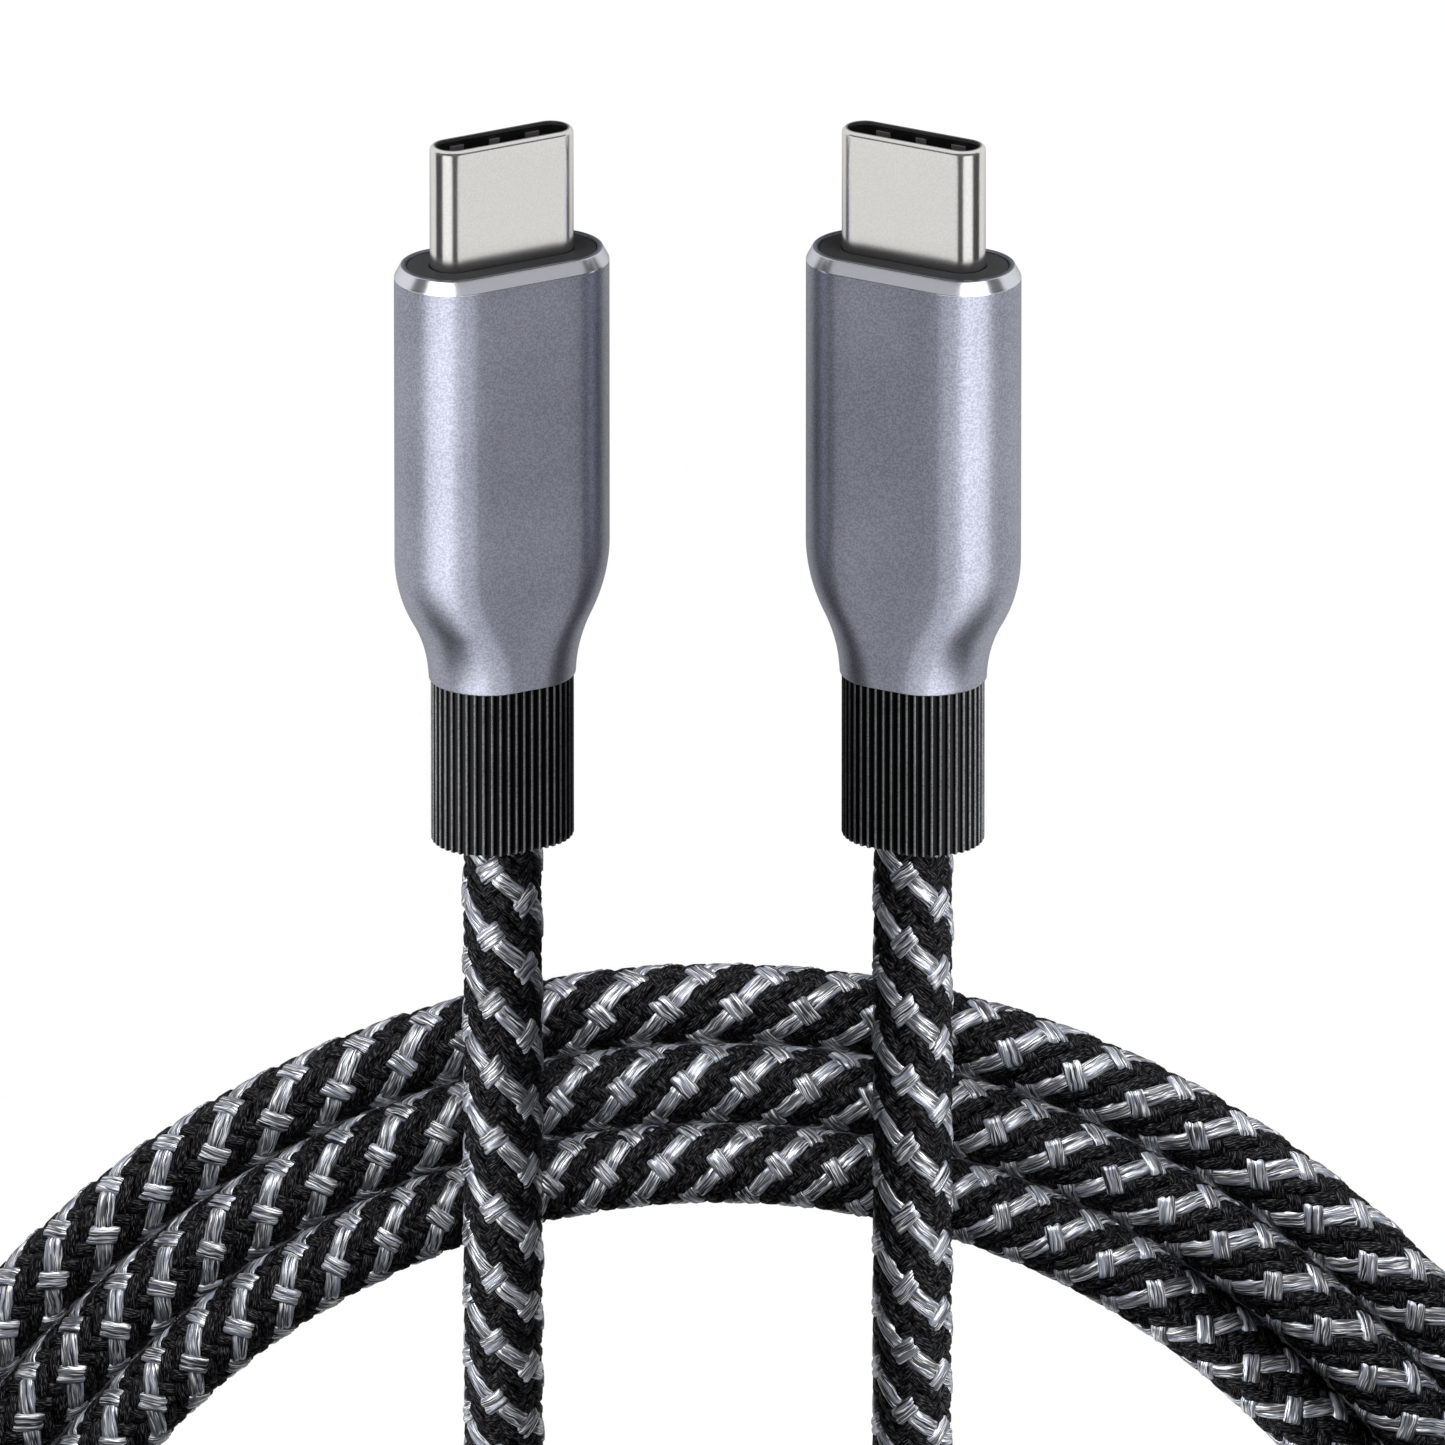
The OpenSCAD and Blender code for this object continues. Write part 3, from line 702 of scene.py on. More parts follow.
class CordFrame:
    """Places points round the cord from their distance along it and their angle about it."""

    def __init__(self, line: np.ndarray, up: Point) -> None:
        """Carries an upright direction along the line without twisting it.

        Args:
            line: The cord's middle line.
            up: The direction of angle 0 at its start.
        """
        self.line = line
        self.gone = travelled(line)
        self.length = float(self.gone[-1])
        way = np.gradient(line, axis=0)
        self.way = way / np.linalg.norm(way, axis=1)[:, None]
        above = np.zeros_like(line)
        current = np.array(up, float)
        for i, t in enumerate(self.way):
            current = current - t * float(current @ t)
            current = current / math.sqrt(float(current @ current))
            above[i] = current
        self.above = above
        self.beside = np.cross(self.way, above)

    def place(self, along: np.ndarray, angle: np.ndarray, radius: np.ndarray) -> np.ndarray:
        """Points round the cord.

        Args:
            along: Distances along the cord.
            angle: Angles about it, in radians.
            radius: Distances from its middle line.

        Returns:
            The points, one row each.
        """
        held = np.clip(along, 0.0, self.length)
        middle, above, beside, way = (
            np.stack([np.interp(held, self.gone, values[:, k]) for k in range(3)], axis=-1)
            for values in (self.line, self.above, self.beside, self.way)
        )
        over = (along - held)[..., None] * way
        round_it = np.cos(angle)[..., None] * above + np.sin(angle)[..., None] * beside
        return middle + over + radius[..., None] * round_it


class Family(Enum):
    """The two families of strands. The right-handed one passes over one strand and under two."""

    RIGHT = 1
    LEFT = -1


@dataclass(frozen=True)
class Strand:
    """The form of a strand where it shows, in metres."""

    half_length: float
    flat: float
    half_width: float
    crown: float
    tuck: float
    squareness: float
    groove: float
    along: int
    across: int


@dataclass(frozen=True)
class BraidPlan:
    """A braid of nine strands each way, every third of them silver."""

    strands: int = 9
    repeat: int = 3
    left_phase: float = 1.5
    lay: float = 0.0105
    radius: float = 0.0021
    base: float = 0.00168
    short_silver: Strand = Strand(0.00112, 0.00074, 0.00056, 0.0022, 0.00166, 3.0, 0.00009, 9, 13)
    long_silver: Strand = Strand(0.00132, 0.0009, 0.00054, 0.00215, 0.00166, 2.8, 0.0001, 9, 13)
    short_black: Strand = Strand(0.00098, 0.00034, 0.00048, 0.00211, 0.00166, 2.2, 0.0, 7, 6)
    long_black: Strand = Strand(0.00136, 0.0008, 0.00048, 0.00211, 0.00166, 2.2, 0.0, 7, 6)
    ring_bias: float = 0.8
    overrun: float = 1.1
    jitter: float = 0.000025
    lift_share: float = 0.4
    spread: float = 0.05
    narrowing: float = 0.18
    sag: float = 0.00002
    split_width: float = 0.2
    pressed: float = 0.0002


class Braid:
    """Builds the braid over one stretch of the cord at a time."""

    FIBRE_RUN = 400.0
    TOP_SHARE = 0.84
    UNDERSIDE = (0.88, 1.0, 1.0, 0.88)
    TILE_ASPECT = 2.0
    TILE_EDGE = 0.06
    CAP_SPOT = 0.02

    def __init__(self, plan: BraidPlan, frame: CordFrame, drift: "Drift") -> None:
        """Keeps the sizes, the cord's line, and where the braid's pattern stands on it."""
        self.plan, self.frame, self.drift = plan, frame, drift
        self.slope = math.atan2(2 * math.pi * plan.radius, plan.lay)

    def _floats(self, family: Family, start: float, end: float) -> tuple[np.ndarray, ...]:
        """Where strands of a family pass over the others.

        Args:
            family: The family.
            start: Where the stretch starts, in pattern distance.
            end: Where it ends.

        Returns:
            For each float its pattern distance, its angle, and whether it is silver.
        """
        count, repeat = self.plan.strands, self.plan.repeat
        cell = self.plan.lay / (2 * count)
        strand = np.arange(count)
        phase = strand if family is Family.RIGHT else 2 * strand + self.plan.left_phase
        first = math.floor(start / cell / repeat) - 2
        last = math.ceil(end / cell / repeat) + 2
        crossing = (phase % repeat)[:, None] + float(repeat) * np.arange(first, last)[None, :]
        across = np.broadcast_to(strand[:, None], crossing.shape)
        turn = 2 * math.pi / count
        angle = turn * across + family.value * turn / 2 * crossing
        along = cell * crossing
        keep = (along >= start) & (along < end)
        return along[keep], angle[keep], (across % repeat == 0)[keep]

    def _sheet(
        self,
        family: Family,
        form: Strand,
        along: np.ndarray,
        angle: np.ndarray,
        rng: np.random.Generator,
    ) -> tuple[np.ndarray, np.ndarray, np.ndarray]:
        """Points of all the floats of one form.

        Args:
            family: Their family.
            form: Their form.
            along: Each float's pattern distance.
            angle: Each float's angle.
            rng: The source of small differences.

        Returns:
            The points, and their distance along and share across the strand, all by float, ring
            and point.
        """
        plan, each = self.plan, (len(along), 1, 1)
        u = np.linspace(-1.0, 1.0, form.along)
        u = np.sign(u) * np.abs(u) ** plan.ring_bias
        w = -np.cos(np.linspace(0.0, math.pi, form.across))
        size = 1 + plan.spread * rng.standard_normal(each)
        shift = plan.jitter * rng.standard_normal(each)
        lift = plan.lift_share * plan.jitter * rng.standard_normal(each)
        lean = plan.spread * rng.standard_normal(each)
        run = form.half_length * size * u[None, :, None] + 0 * w[None, None, :]
        past = np.clip((np.abs(run) - form.flat) / (form.half_length - form.flat), 0.0, plan.overrun)
        fall = past * past * (3 - 2 * np.minimum(past, 1.0))
        sag = plan.sag * (run / form.flat) ** 2
        crown = form.crown + lift - (form.crown - form.tuck) * fall - sag
        round_off = (1 - np.abs(w) ** form.squareness) ** (1 / form.squareness)
        split = 1 - np.exp(-((w / plan.split_width) ** 2))
        height = (crown - plan.base) * round_off[None, None, :] - form.groove * (1 - split)
        narrow = 1 - plan.narrowing * fall
        side = form.half_width * narrow * w[None, None, :] + shift + lean * run
        lengthwise, sideways = math.cos(self.slope), math.sin(self.slope)
        sign = family.value
        distance = along[:, None, None] + run * lengthwise - sign * side * sideways
        turned = angle[:, None, None] + (sign * run * sideways + side * lengthwise) / plan.radius
        where, twist = self.drift.on_cord(distance)
        points = self.frame.place(where, turned + twist, plan.base + height)
        # The yarn is pressed flat where it lies on the table
        low, level = plan.pressed, points[..., 2]
        points[..., 2] = np.where(level < low, low * np.exp((level - low) / low), level)
        return points, run, np.broadcast_to(w[None, None, :], run.shape)

    def stretch(self, name: str, start: float, end: float, seed: int) -> bpy.types.Object:
        """Builds the braid over one stretch.

        Args:
            name: The piece's name.
            start: Where the stretch starts on the cord.
            end: Where it ends.
            seed: The seed of its small differences.

        Returns:
            The piece.
        """
        rng = np.random.default_rng(seed)
        low, high = self.drift.in_pattern(np.array([start, end]))
        batches = []
        for family, silver, black in (
            (Family.RIGHT, self.plan.short_silver, self.plan.short_black),
            (Family.LEFT, self.plan.long_silver, self.plan.long_black),
        ):
            along, angle, is_silver = self._floats(family, float(low), float(high))
            for form, chosen, slot in ((silver, is_silver, 1), (black, ~is_silver, 0)):
                points, run, across = self._sheet(family, form, along[chosen], angle[chosen], rng)
                batches.append((points, run, across, slot))
        return self._piece(name, batches, rng)

    def _piece(self, name: str, batches: list[tuple], rng: np.random.Generator) -> bpy.types.Object:
        """Joins the floats into one piece.

        Args:
            name: The piece's name.
            batches: For each form its floats' points, run and share across, and their finish.
            rng: The source of each float's place on the fibres.

        Returns:
            The piece.
        """
        total = sum(len(points) for points, _, _, _ in batches)
        columns = math.ceil(math.sqrt(total * self.TILE_ASPECT))
        tiles = np.array([columns, math.ceil(total / columns)])
        points_all, quads_all, caps, slots, cap_slots = [], [], [], [], []
        strand_maps, cap_strand, bake_maps, cap_bake = [], [], [], []
        offset, tile = 0, 0
        for points, run, across, slot in batches:
            count, rings, around = points.shape[:3]
            local = ring_quads(rings, around, closed=False)
            begins = offset + np.arange(count) * rings * around
            points_all.append(points.reshape(-1, 3))
            quads_all.append((begins[:, None, None] + local).reshape(-1, 4))
            for begin in begins.tolist():
                caps += end_caps(begin, rings, around)
            slots.append(np.full(count * len(local), slot))
            cap_slots.append(np.full(2 * count, slot))
            place = rng.uniform(0.0, self.FIBRE_RUN, (count, 1))
            flat_run = run.reshape(count, -1) / MM + place
            flat_across = across.reshape(count, -1)
            on_strand = np.stack([flat_run[:, local], flat_across[:, local]], axis=-1)
            strand_maps.append(on_strand.reshape(-1, 2))
            tip = np.stack([flat_run[:, 0], 0 * flat_run[:, 0]], axis=-1)
            cap_strand.append(np.repeat(tip, 2 * around, axis=0))
            # Tiles of the bake map: the top of a float takes most of its tile, its underside the rest
            ring, spot = np.divmod(local, around)
            inside = np.stack([ring / (rings - 1), spot / (around - 1) * self.TOP_SHARE], axis=-1)
            inside[local[:, 0] % around == around - 1, :, 1] = self.UNDERSIDE
            cells = np.stack(np.divmod(tile + np.arange(count), columns)[::-1], axis=-1)
            corner = cells[:, None, None] + self.TILE_EDGE + (1 - 2 * self.TILE_EDGE) * inside
            bake_maps.append((corner / tiles).reshape(-1, 2))
            ends = (cells + np.array([self.TILE_EDGE, self.CAP_SPOT])) / tiles
            cap_bake.append(np.repeat(ends, 2 * around, axis=0))
            offset += count * rings * around
            tile += count
        # The caps follow every quad, in the order of the floats
        maps = {
            "OFBake": np.concatenate(bake_maps + cap_bake),
            "strand": np.concatenate(strand_maps + cap_strand),
        }
        finishes = np.concatenate(slots + cap_slots)
        plan = MeshPlan(np.concatenate(points_all), np.concatenate(quads_all), caps, finishes, maps)
        return plan.build(name, (Finish.BLACK_YARN, Finish.SILVER_YARN))


@dataclass(frozen=True)
class Drift:
    """Where the braid's pattern stands along the cord: its turn and its shift at some distances."""

    at: tuple[float, ...] = (
        0.002, 0.018, 0.034, 0.139, 0.15, 0.172, 0.19, 0.207, 0.348, 0.362, 0.386, 0.404, 0.43,
        0.593, 0.606, 0.632, 0.652, 0.674, 0.811, 0.826, 0.843,
    )
    turn: tuple[float, ...] = (
        20.4, 13.2, 14.6, 12.1, 17.1, 22.4, 11.3, 8.1, -0.3, 12.3, 23.3, 13.5, 3.7, -2.2, 12.2,
        17.7, 8.0, 3.8, -9.0, -8.2, -11.5,
    )
    shift: tuple[float, ...] = (
        -0.00829, -0.00954, -0.01125, -0.01271, -0.01198, -0.00839, -0.00532, -0.00315, 0.00312,
        0.00262, 0.0037, 0.00516, 0.00561, -0.00056, -0.00204, -0.00308, -0.00345, -0.00483,
        -0.01804, -0.01978, -0.02135,
    )
    margin: float = 0.02
    samples: int = 4000

    def in_pattern(self, along: np.ndarray) -> np.ndarray:
        """Pattern distance of points at distances along the cord."""
        return along + np.interp(along, self.at, self.shift)

    def on_cord(self, pattern: np.ndarray) -> tuple[np.ndarray, np.ndarray]:
        """Where pattern distances lie on the cord.

        Args:
            pattern: Pattern distances.

        Returns:
            Distances along the cord, and the pattern's turn there in radians.
        """
        grid = np.linspace(self.at[0] - self.margin, self.at[-1] + self.margin, self.samples)
        along = np.interp(pattern, self.in_pattern(grid), grid)
        return along, np.radians(np.interp(along, self.at, self.turn))


@dataclass
class Cord:
    """The braided cord: a core and the braid on it."""

    route: CordRoute = field(default_factory=CordRoute)
    plan: BraidPlan = field(default_factory=BraidPlan)
    drift: Drift = field(default_factory=Drift)
    core_radius: float = 0.00174
    core_sides: int = 20
    core_step: int = 4
    relief_run: float = 0.0012
    lead_a_run: float = 0.148
    lead_b_run: float = 0.155
    coil_parts: int = 4
    first_seed: int = 11

    def build(self) -> dict[str, list[bpy.types.Object]]:
        """Returns:
            The braid's pieces by name, without its prefix: the leads and the coil's four parts.
        """
        line = self.route.line()
        frame = CordFrame(line, (0.0, 0.0, 1.0))
        core = self._core(frame)
        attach(core, "root")
        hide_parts("lead_a", "coil", "lead_b")
        braid = Braid(self.plan, frame, self.drift)
        pieces = []
        for seed, (name, start, end) in enumerate(self._stretches(frame.length)):
            piece = braid.stretch(name, start, end, seed + self.first_seed)
            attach(piece, "root")
            pieces.append(piece)
            LOG.info("%s: %d faces", name, len(piece.data.polygons))
        return {piece.name.removeprefix("braid_"): [piece] for piece in pieces}

    def _stretches(self, length: float) -> list[tuple[str, float, float]]:
        """Names and ends of the braid's pieces.

        Args:
            length: The cord's length.

        Returns:
            For each piece its name, and where it starts and ends on the cord.
        """
        coil = [f"braid_coil_{k + 1}" for k in range(self.coil_parts)]
        inner = np.linspace(self.lead_a_run, length - self.lead_b_run, self.coil_parts + 1)
        names = ["braid_lead_a", *coil, "braid_lead_b"]
        cuts = [-self.relief_run, *inner, length + self.relief_run]
        return list(zip(names, cuts[:-1], cuts[1:]))

    def _core(self, frame: CordFrame) -> bpy.types.Object:
        """Builds the core under the braid.

        Args:
            frame: The cord's line and directions.

        Returns:
            The piece.
        """
        along = frame.gone[:: self.core_step]
        along = np.append(along, frame.length)
        turns = np.arange(self.core_sides) * 2 * math.pi / self.core_sides
        where, angle = np.meshgrid(along, turns, indexing="ij")
        points = frame.place(where, angle, np.full_like(where, self.core_radius)).reshape(-1, 3)
        rings, around = len(along), self.core_sides
        plan = MeshPlan(points, ring_quads(rings, around, closed=False), end_caps(0, rings, around))
        return plan.build("cord_core", (Finish.CORE,))


# ---- Plugs ----


class Side(Enum):
    """The two plugs: a lies on the left and b on the right."""

    A = -1
    B = 1

    @property
    def mark(self) -> str:
        """The ending of the plug's node names."""
        return "_" + self.name.lower()


@dataclass(frozen=True)
class PlugSizes:
    """Sizes of a plug's outside, in millimetres."""

    shell_w: float = 8.25
    shell_t: float = 2.4
    shell_wall: float = 0.3
    shell_out: float = 6.65
    shell_in: float = 3.6
    shell_lip: float = 0.27
    shell_rim_r: float = 0.05
    lip_face: float = 0.17
    mouth_rim: float = 0.2
    tab_recess: float = 0.4
    tab_x: float = 2.24
    tab_w: float = 0.8
    tab_mid_w: float = 0.58
    tab_profile: tuple[tuple[float, float], ...] = (
        (0.02, -0.36), (0.05, -0.05), (0.09, 0.0), (0.17, 0.0), (0.17, -0.1), (0.12, -0.36),
    )
    body_w: float = 12.02
    body_t: float = 6.1
    body_len: float = 23.4
    body_wall: float = 0.65
    body_straight: float = 16.25
    tail_w: float = 7.96
    tail_run: float = 0.2
    tail_round: float = 0.2
    shoulder_r: float = 7.5
    chamfer_w: float = 0.35
    chamfer_len: float = 0.67
    rim_r: float = 0.05
    edge_r: float = 0.07
    tail_r: float = 0.06
    insert_t: float = 1.4
    insert_step: float = 0.05
    insert_edge_r: float = 0.07
    insert_bore_r: float = 0.1
    relief_len: float = 9.1
    relief_step: float = 0.1
    relief_round: float = 0.16
    rib_count: int = 48
    rib_depth: float = 0.2
    rib_profile: tuple[tuple[float, float], ...] = (
        (0.0, 1.0), (0.12, 1.0), (0.24, 0.97), (0.31, 0.8), (0.35, 0.25), (0.4, 0.04), (0.5, 0.0),
        (0.6, 0.04), (0.65, 0.25), (0.69, 0.8), (0.76, 0.97), (0.88, 1.0),
    )
    rib_crest: tuple[int, ...] = (4, 5, 6, 7)
    cord_d: float = 4.2
    fit: float = 0.03
    spacing: float = 21.6
    roll: float = 28.5
    tilt: float = 2.65
    rim_y: float = 12.9112
    rim_z: float = 4.44571

    def half_width(self, back: float) -> float:
        """Half the housing's width.

        Args:
            back: The distance behind its front.

        Returns:
            The half width there.
        """
        run = self.body_len - self.body_straight + self.tail_run
        drop = (self.body_w - self.tail_w) / 2
        angle = 2 * math.atan2(drop, run)
        s, hollow_r = back - self.body_straight, run / math.sin(angle) - self.shoulder_r
        if s <= 0:
            return self.body_w / 2
        if s <= self.shoulder_r * math.sin(angle):
            return self.body_w / 2 - self.shoulder_r + math.sqrt(self.shoulder_r**2 - s**2)
        return self.tail_w / 2 + hollow_r - math.sqrt(hollow_r**2 - (run - s) ** 2)

    def place(self, side: Side) -> Matrix:
        """The place of a plug on the table, in metres.

        Args:
            side: Which plug.

        Returns:
            The matrix from the plug's own frame.
        """
        turn = (
            Matrix.Rotation(math.radians(-self.tilt), 4, "X")
            @ Matrix.Rotation(math.radians(-side.value * self.roll), 4, "Y")
            @ Matrix.Rotation(math.pi, 4, "Z")
            @ Matrix.Rotation(math.pi / 2, 4, "X")
        )
        at = Vector((side.value * self.spacing / 2, self.rim_y, self.rim_z)) * MM
        return Matrix.Translation(at) @ turn @ Matrix.Scale(MM, 4)


def rounded(
    half: float, before: Sequence[float], corner: Sequence[float], after: Sequence[float], radius: float
) -> list[Point]:
    """Rounds a corner of a sleeve's outline.

    Args:
        half: Half the distance between the centres of the rings' round ends.
        before: The radius and height before the corner.
        corner: Those of the corner.
        after: Those after it.
        radius: How far from the corner the rounding starts.

    Returns:
        The rings of the rounding.
    """
    most, steps = 0.45, 5
    c, a, b = (np.array(p, float) for p in (corner, before, after))
    start, stop = (c + (p - c) * min(most, radius / np.linalg.norm(p - c)) for p in (a, b))
    shares = np.linspace(0, 1, steps)
    curve = [(1 - t) ** 2 * start + 2 * t * (1 - t) * c + t**2 * stop for t in shares]
    return [(half, float(r), float(z)) for r, z in curve]


class Plug:
    """One plug: rounded outside pieces, and the CAD pieces inside it with their finishes."""

    ARC = 40
    FLAT = 6

    def __init__(self, side: Side, sizes: PlugSizes) -> None:
        """Keeps what the plug is built from.

        Args:
            side: Which plug.
            sizes: Its sizes.
        """
        self.side, self.sizes = side, sizes
        self.pieces: dict[str, list[bpy.types.Object]] = {}
        self.matrix = np.array(sizes.place(side))

    def _laid(self, local: np.ndarray) -> np.ndarray:
        """Points in the plug's own frame, laid on the table."""
        return local @ self.matrix[:3, :3].T + self.matrix[:3, 3]

    def _oblong(self, half: float, r: float, z: float) -> np.ndarray:
        """A ring of points round an oblong.

        Args:
            half: Half the distance between the centres of its round ends.
            r: The radius of its ends.
            z: Its height in the plug's frame.

        Returns:
            The ring.
        """
        turn = np.linspace(-math.pi / 2, math.pi / 2, self.ARC)
        right = np.stack([half + r * np.cos(turn), r * np.sin(turn)], axis=1)
        share = np.linspace(0, 1, self.FLAT + 2)[1:-1, None]
        top = right[-1] * (1 - share) + np.array([-half, r]) * share
        left = -right
        bottom = left[-1] * (1 - share) + np.array([half, -r]) * share
        flat = np.vstack([right, top, left, bottom])
        return np.column_stack([flat, np.full(len(flat), z)])

    def _sleeve(
        self,
        name: str,
        outline: list[Point],
        finishes: Sequence[Finish],
        pick: Callable[[np.ndarray, np.ndarray], np.ndarray] | None = None,
    ) -> bpy.types.Object:
        """Builds a closed sleeve of oblong rings.

        Args:
            name: The piece's name.
            outline: Its rings, each as half, radius and height.
            finishes: Its finishes.
            pick: Gives the number of a quad's finish from its radius and height.

        Returns:
            The piece.
        """
        rings = [self._oblong(*ring) for ring in outline]
        around = len(rings[0])
        quads = ring_quads(len(rings), around, closed=True)
        slots = None
        if pick is not None:
            both = np.array([ring[1:] for ring in outline])
            radius, height = ((both + np.roll(both, -1, axis=0)) / 2).T
            slots = np.repeat(pick(radius, height).astype(int), around)
        plan = MeshPlan(self._laid(np.vstack(rings)), quads, [], slots)
        return plan.build(name + self.side.mark, finishes)

    def _finish_piece(self, piece: bpy.types.Object, node: str) -> None:
        """Puts a piece in the place of its node.

        Args:
            piece: The piece.
            node: The node's name without its ending.
        """
        self.pieces[node] = [piece]
        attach(piece, "root")
        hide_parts(node + self.side.mark)
        LOG.info("%s stands for %s", piece.name, node + self.side.mark)

    def housing(self) -> None:
        """Builds the housing: front rim, pale chamfer, straight body, drawn-in tail."""
        z = self.sizes
        half, r = (z.body_w - z.body_t) / 2, z.body_t / 2
        inner = r - z.body_wall
        rim, edge = (r - z.chamfer_w, 0.0), (r, -z.chamfer_len)

        def rings(at: np.ndarray, radius: float) -> list[Point]:
            """Rings of one radius at distances behind the front."""
            return [(z.half_width(back) - r, radius, -back) for back in at.tolist()]

        outline = rounded(half, (inner, 0.0), rim, edge, z.rim_r)
        outline += rounded(half, rim, edge, (r, -4.0), z.edge_r)
        outline += [(half, r, -back) for back in np.linspace(1.2, z.body_straight, 8).tolist()]
        end = z.body_len
        outline += rings(np.linspace(z.body_straight, end - z.tail_round, 40)[1:], r)
        tail = z.half_width(end) - r
        outline += rounded(tail, (r, 1 - end), (r, -end), (inner, -end), z.tail_r)
        outline += rings(np.linspace(end, z.body_straight, 24), inner)
        outline += [(half, inner, -1.0), (half, inner, -0.05), (half, inner + 0.03, 0.0)]
        cut_r, cut_z = r - z.chamfer_w - 0.01, -z.chamfer_len - 0.03
        piece = self._sleeve(
            "housing",
            outline,
            (Finish.ALUMINIUM, Finish.CHAMFER),
            lambda ring, at: (ring > cut_r) & (at > cut_z),
        )
        piece.name = "metal_housing" + self.side.mark
        self._finish_piece(piece, "housing")

    def front_insert(self) -> None:
        """Builds the dark plate in the housing's mouth."""
        z = self.sizes
        outer_half, shell_half = (z.body_w - z.body_t) / 2, (z.shell_w - z.shell_t) / 2
        outer, inner = z.body_t / 2 - z.body_wall - z.fit, z.shell_t / 2 + z.fit
        top, low = -z.insert_step, -z.insert_t
        outline = rounded(outer_half, (inner, top), (outer, top), (outer, low), z.insert_edge_r)
        outline += [(outer_half, outer, low), (shell_half, inner, low)]
        outline += rounded(shell_half, (inner, low), (inner, top), (outer, top), z.insert_bore_r)
        piece = self._sleeve("mouth_plate", outline, (Finish.INSERT,))
        self._finish_piece(piece, "front_insert")

    def shell(self) -> None:
        """Builds the plated shell with its rounded mouth."""
        z = self.sizes
        half, r = (z.shell_w - z.shell_t) / 2, z.shell_t / 2
        bore, out, back, lip = r - z.shell_wall, z.shell_out, -z.shell_in, z.shell_lip
        outline: list[Point] = [(half, r, back), (half, r, 0.0)]
        outline += [(half, r, out * k / 6) for k in range(1, 6)]
        for t in np.linspace(0, math.pi / 2, 7):
            outline.append((half, r - lip + lip * math.cos(t), out - lip + lip * math.sin(t)))
        outline += rounded(half, (r - lip, out), (bore, out), (bore, out - 1), z.shell_rim_r)
        outline += [(half, bore, at) for at in (out - z.mouth_rim, out - 0.8, 2.0, back)]
        # The rim's end face and the mouth of the bore take a dark copy of the plate, a painted dark
        # reflection; deeper in, the bore takes the black plastic as painted shade
        piece = self._sleeve(
            "plated_shell",
            outline,
            (Finish.NICKEL, Finish.SHELL_EDGE, Finish.CONTACT_PLASTIC),
            lambda ring, at: (ring < r - z.lip_face).astype(int)
            + ((ring < bore + 0.01) & (at < out - z.mouth_rim)),
        )
        self._finish_piece(piece, "shell")

    def mouth_tabs(self) -> None:
        """Builds the tips of the screening springs' tabs, which show inside the shell's mouth."""
        z = self.sizes
        bore, tip = z.shell_t / 2 - z.shell_wall, z.shell_out - z.tab_recess
        points, quads = [], []
        for up in (1, -1):
            for middle, wide in ((-z.tab_x, z.tab_w), (0.0, z.tab_mid_w), (z.tab_x, z.tab_w)):
                start, count = len(points), len(z.tab_profile)
                for side in (-1, 1):
                    x = middle + side * wide / 2
                    points += [(x, up * (bore - depth), tip + at) for depth, at in z.tab_profile]
                for k in range(count):
                    after = (k + 1) % count
                    quad = [start + k, start + after, start + count + after, start + count + k]
                    quads.append(quad if up > 0 else quad[::-1])
                for end in ((0, 1, 4, 5), (1, 2, 3, 4)):
                    near, far = [start + k for k in end], [start + count + k for k in end]
                    quads.append(near[::-1] if up > 0 else near)
                    quads.append(far if up > 0 else far[::-1])
        plan = MeshPlan(self._laid(np.array(points)), np.array(quads))
        piece = plan.build("mouth_tabs" + self.side.mark, (Finish.TAB,))
        for polygon in piece.data.polygons:
            polygon.use_smooth = False
        self.pieces["shell"].append(piece)
        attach(piece, "root")

    def strain_relief(self) -> None:
        """Builds the ribbed rubber sleeve and its bore."""
        z = self.sizes
        phases, depths = np.array(z.rib_profile).T
        count = z.rib_count * len(phases)
        wide, thick = z.tail_w - 2 * z.relief_step, z.body_t - 2 * z.relief_step
        straight, quarter = wide - thick, math.pi * thick / 2
        perimeter = 2 * straight + 2 * quarter
        rib = perimeter / z.rib_count

        def ring(z_at: float, inset: float, bore: float | None = None) -> np.ndarray:
            """A ring of the relief.

            Args:
                z_at: Its height.
                inset: How far it lies inside the outline.
                bore: The bore's radius, for a ring of the bore.

            Returns:
                The ring.
            """
            rows = []
            for k in range(count):
                number, spot = divmod(k, len(phases))
                s = (number + phases[spot]) * rib
                r = thick / 2 - inset - z.rib_depth * depths[spot]
                if s < straight:
                    middle, angle = straight / 2 - s, math.pi / 2
                elif s < straight + quarter:
                    middle, angle = -straight / 2, math.pi / 2 + (s - straight) / quarter * math.pi
                elif s < 2 * straight + quarter:
                    middle, angle = -straight / 2 + s - straight - quarter, -math.pi / 2
                else:
                    middle = straight / 2
                    angle = -math.pi / 2 + (s - 2 * straight - quarter) / quarter * math.pi
                x, y = middle + r * math.cos(angle), r * math.sin(angle)
                if bore is not None:
                    turn = math.atan2(y, x)
                    x, y = bore * math.cos(turn), bore * math.sin(turn)
                rows.append((x, y, z_at))
            return np.array(rows)

        front, rear = -z.body_len + 0.05, -z.body_len - z.relief_len
        bore = z.cord_d / 2 + z.fit
        rings = [ring(front, 0.02), ring(-z.body_len - 0.12, 0.0)]
        rings += [ring(-z.body_len - z.relief_len * k / 5, 0.0) for k in range(1, 5)]
        for t in np.linspace(0, math.pi / 2, 5):
            rise, inset = 1 - math.sin(t), 1 - math.cos(t)
            rings.append(ring(rear + z.relief_round * rise, z.relief_round * inset))
        outside = len(rings)
        rings += [ring(rear, 0.5), ring(rear, 0.0, bore + 0.12), ring(rear + 0.05, 0.0, bore + 0.02)]
        rings += [ring(rear + 1.2, 0.0, bore), ring(front, 0.0, bore)]
        quads = ring_quads(len(rings), count, closed=True)
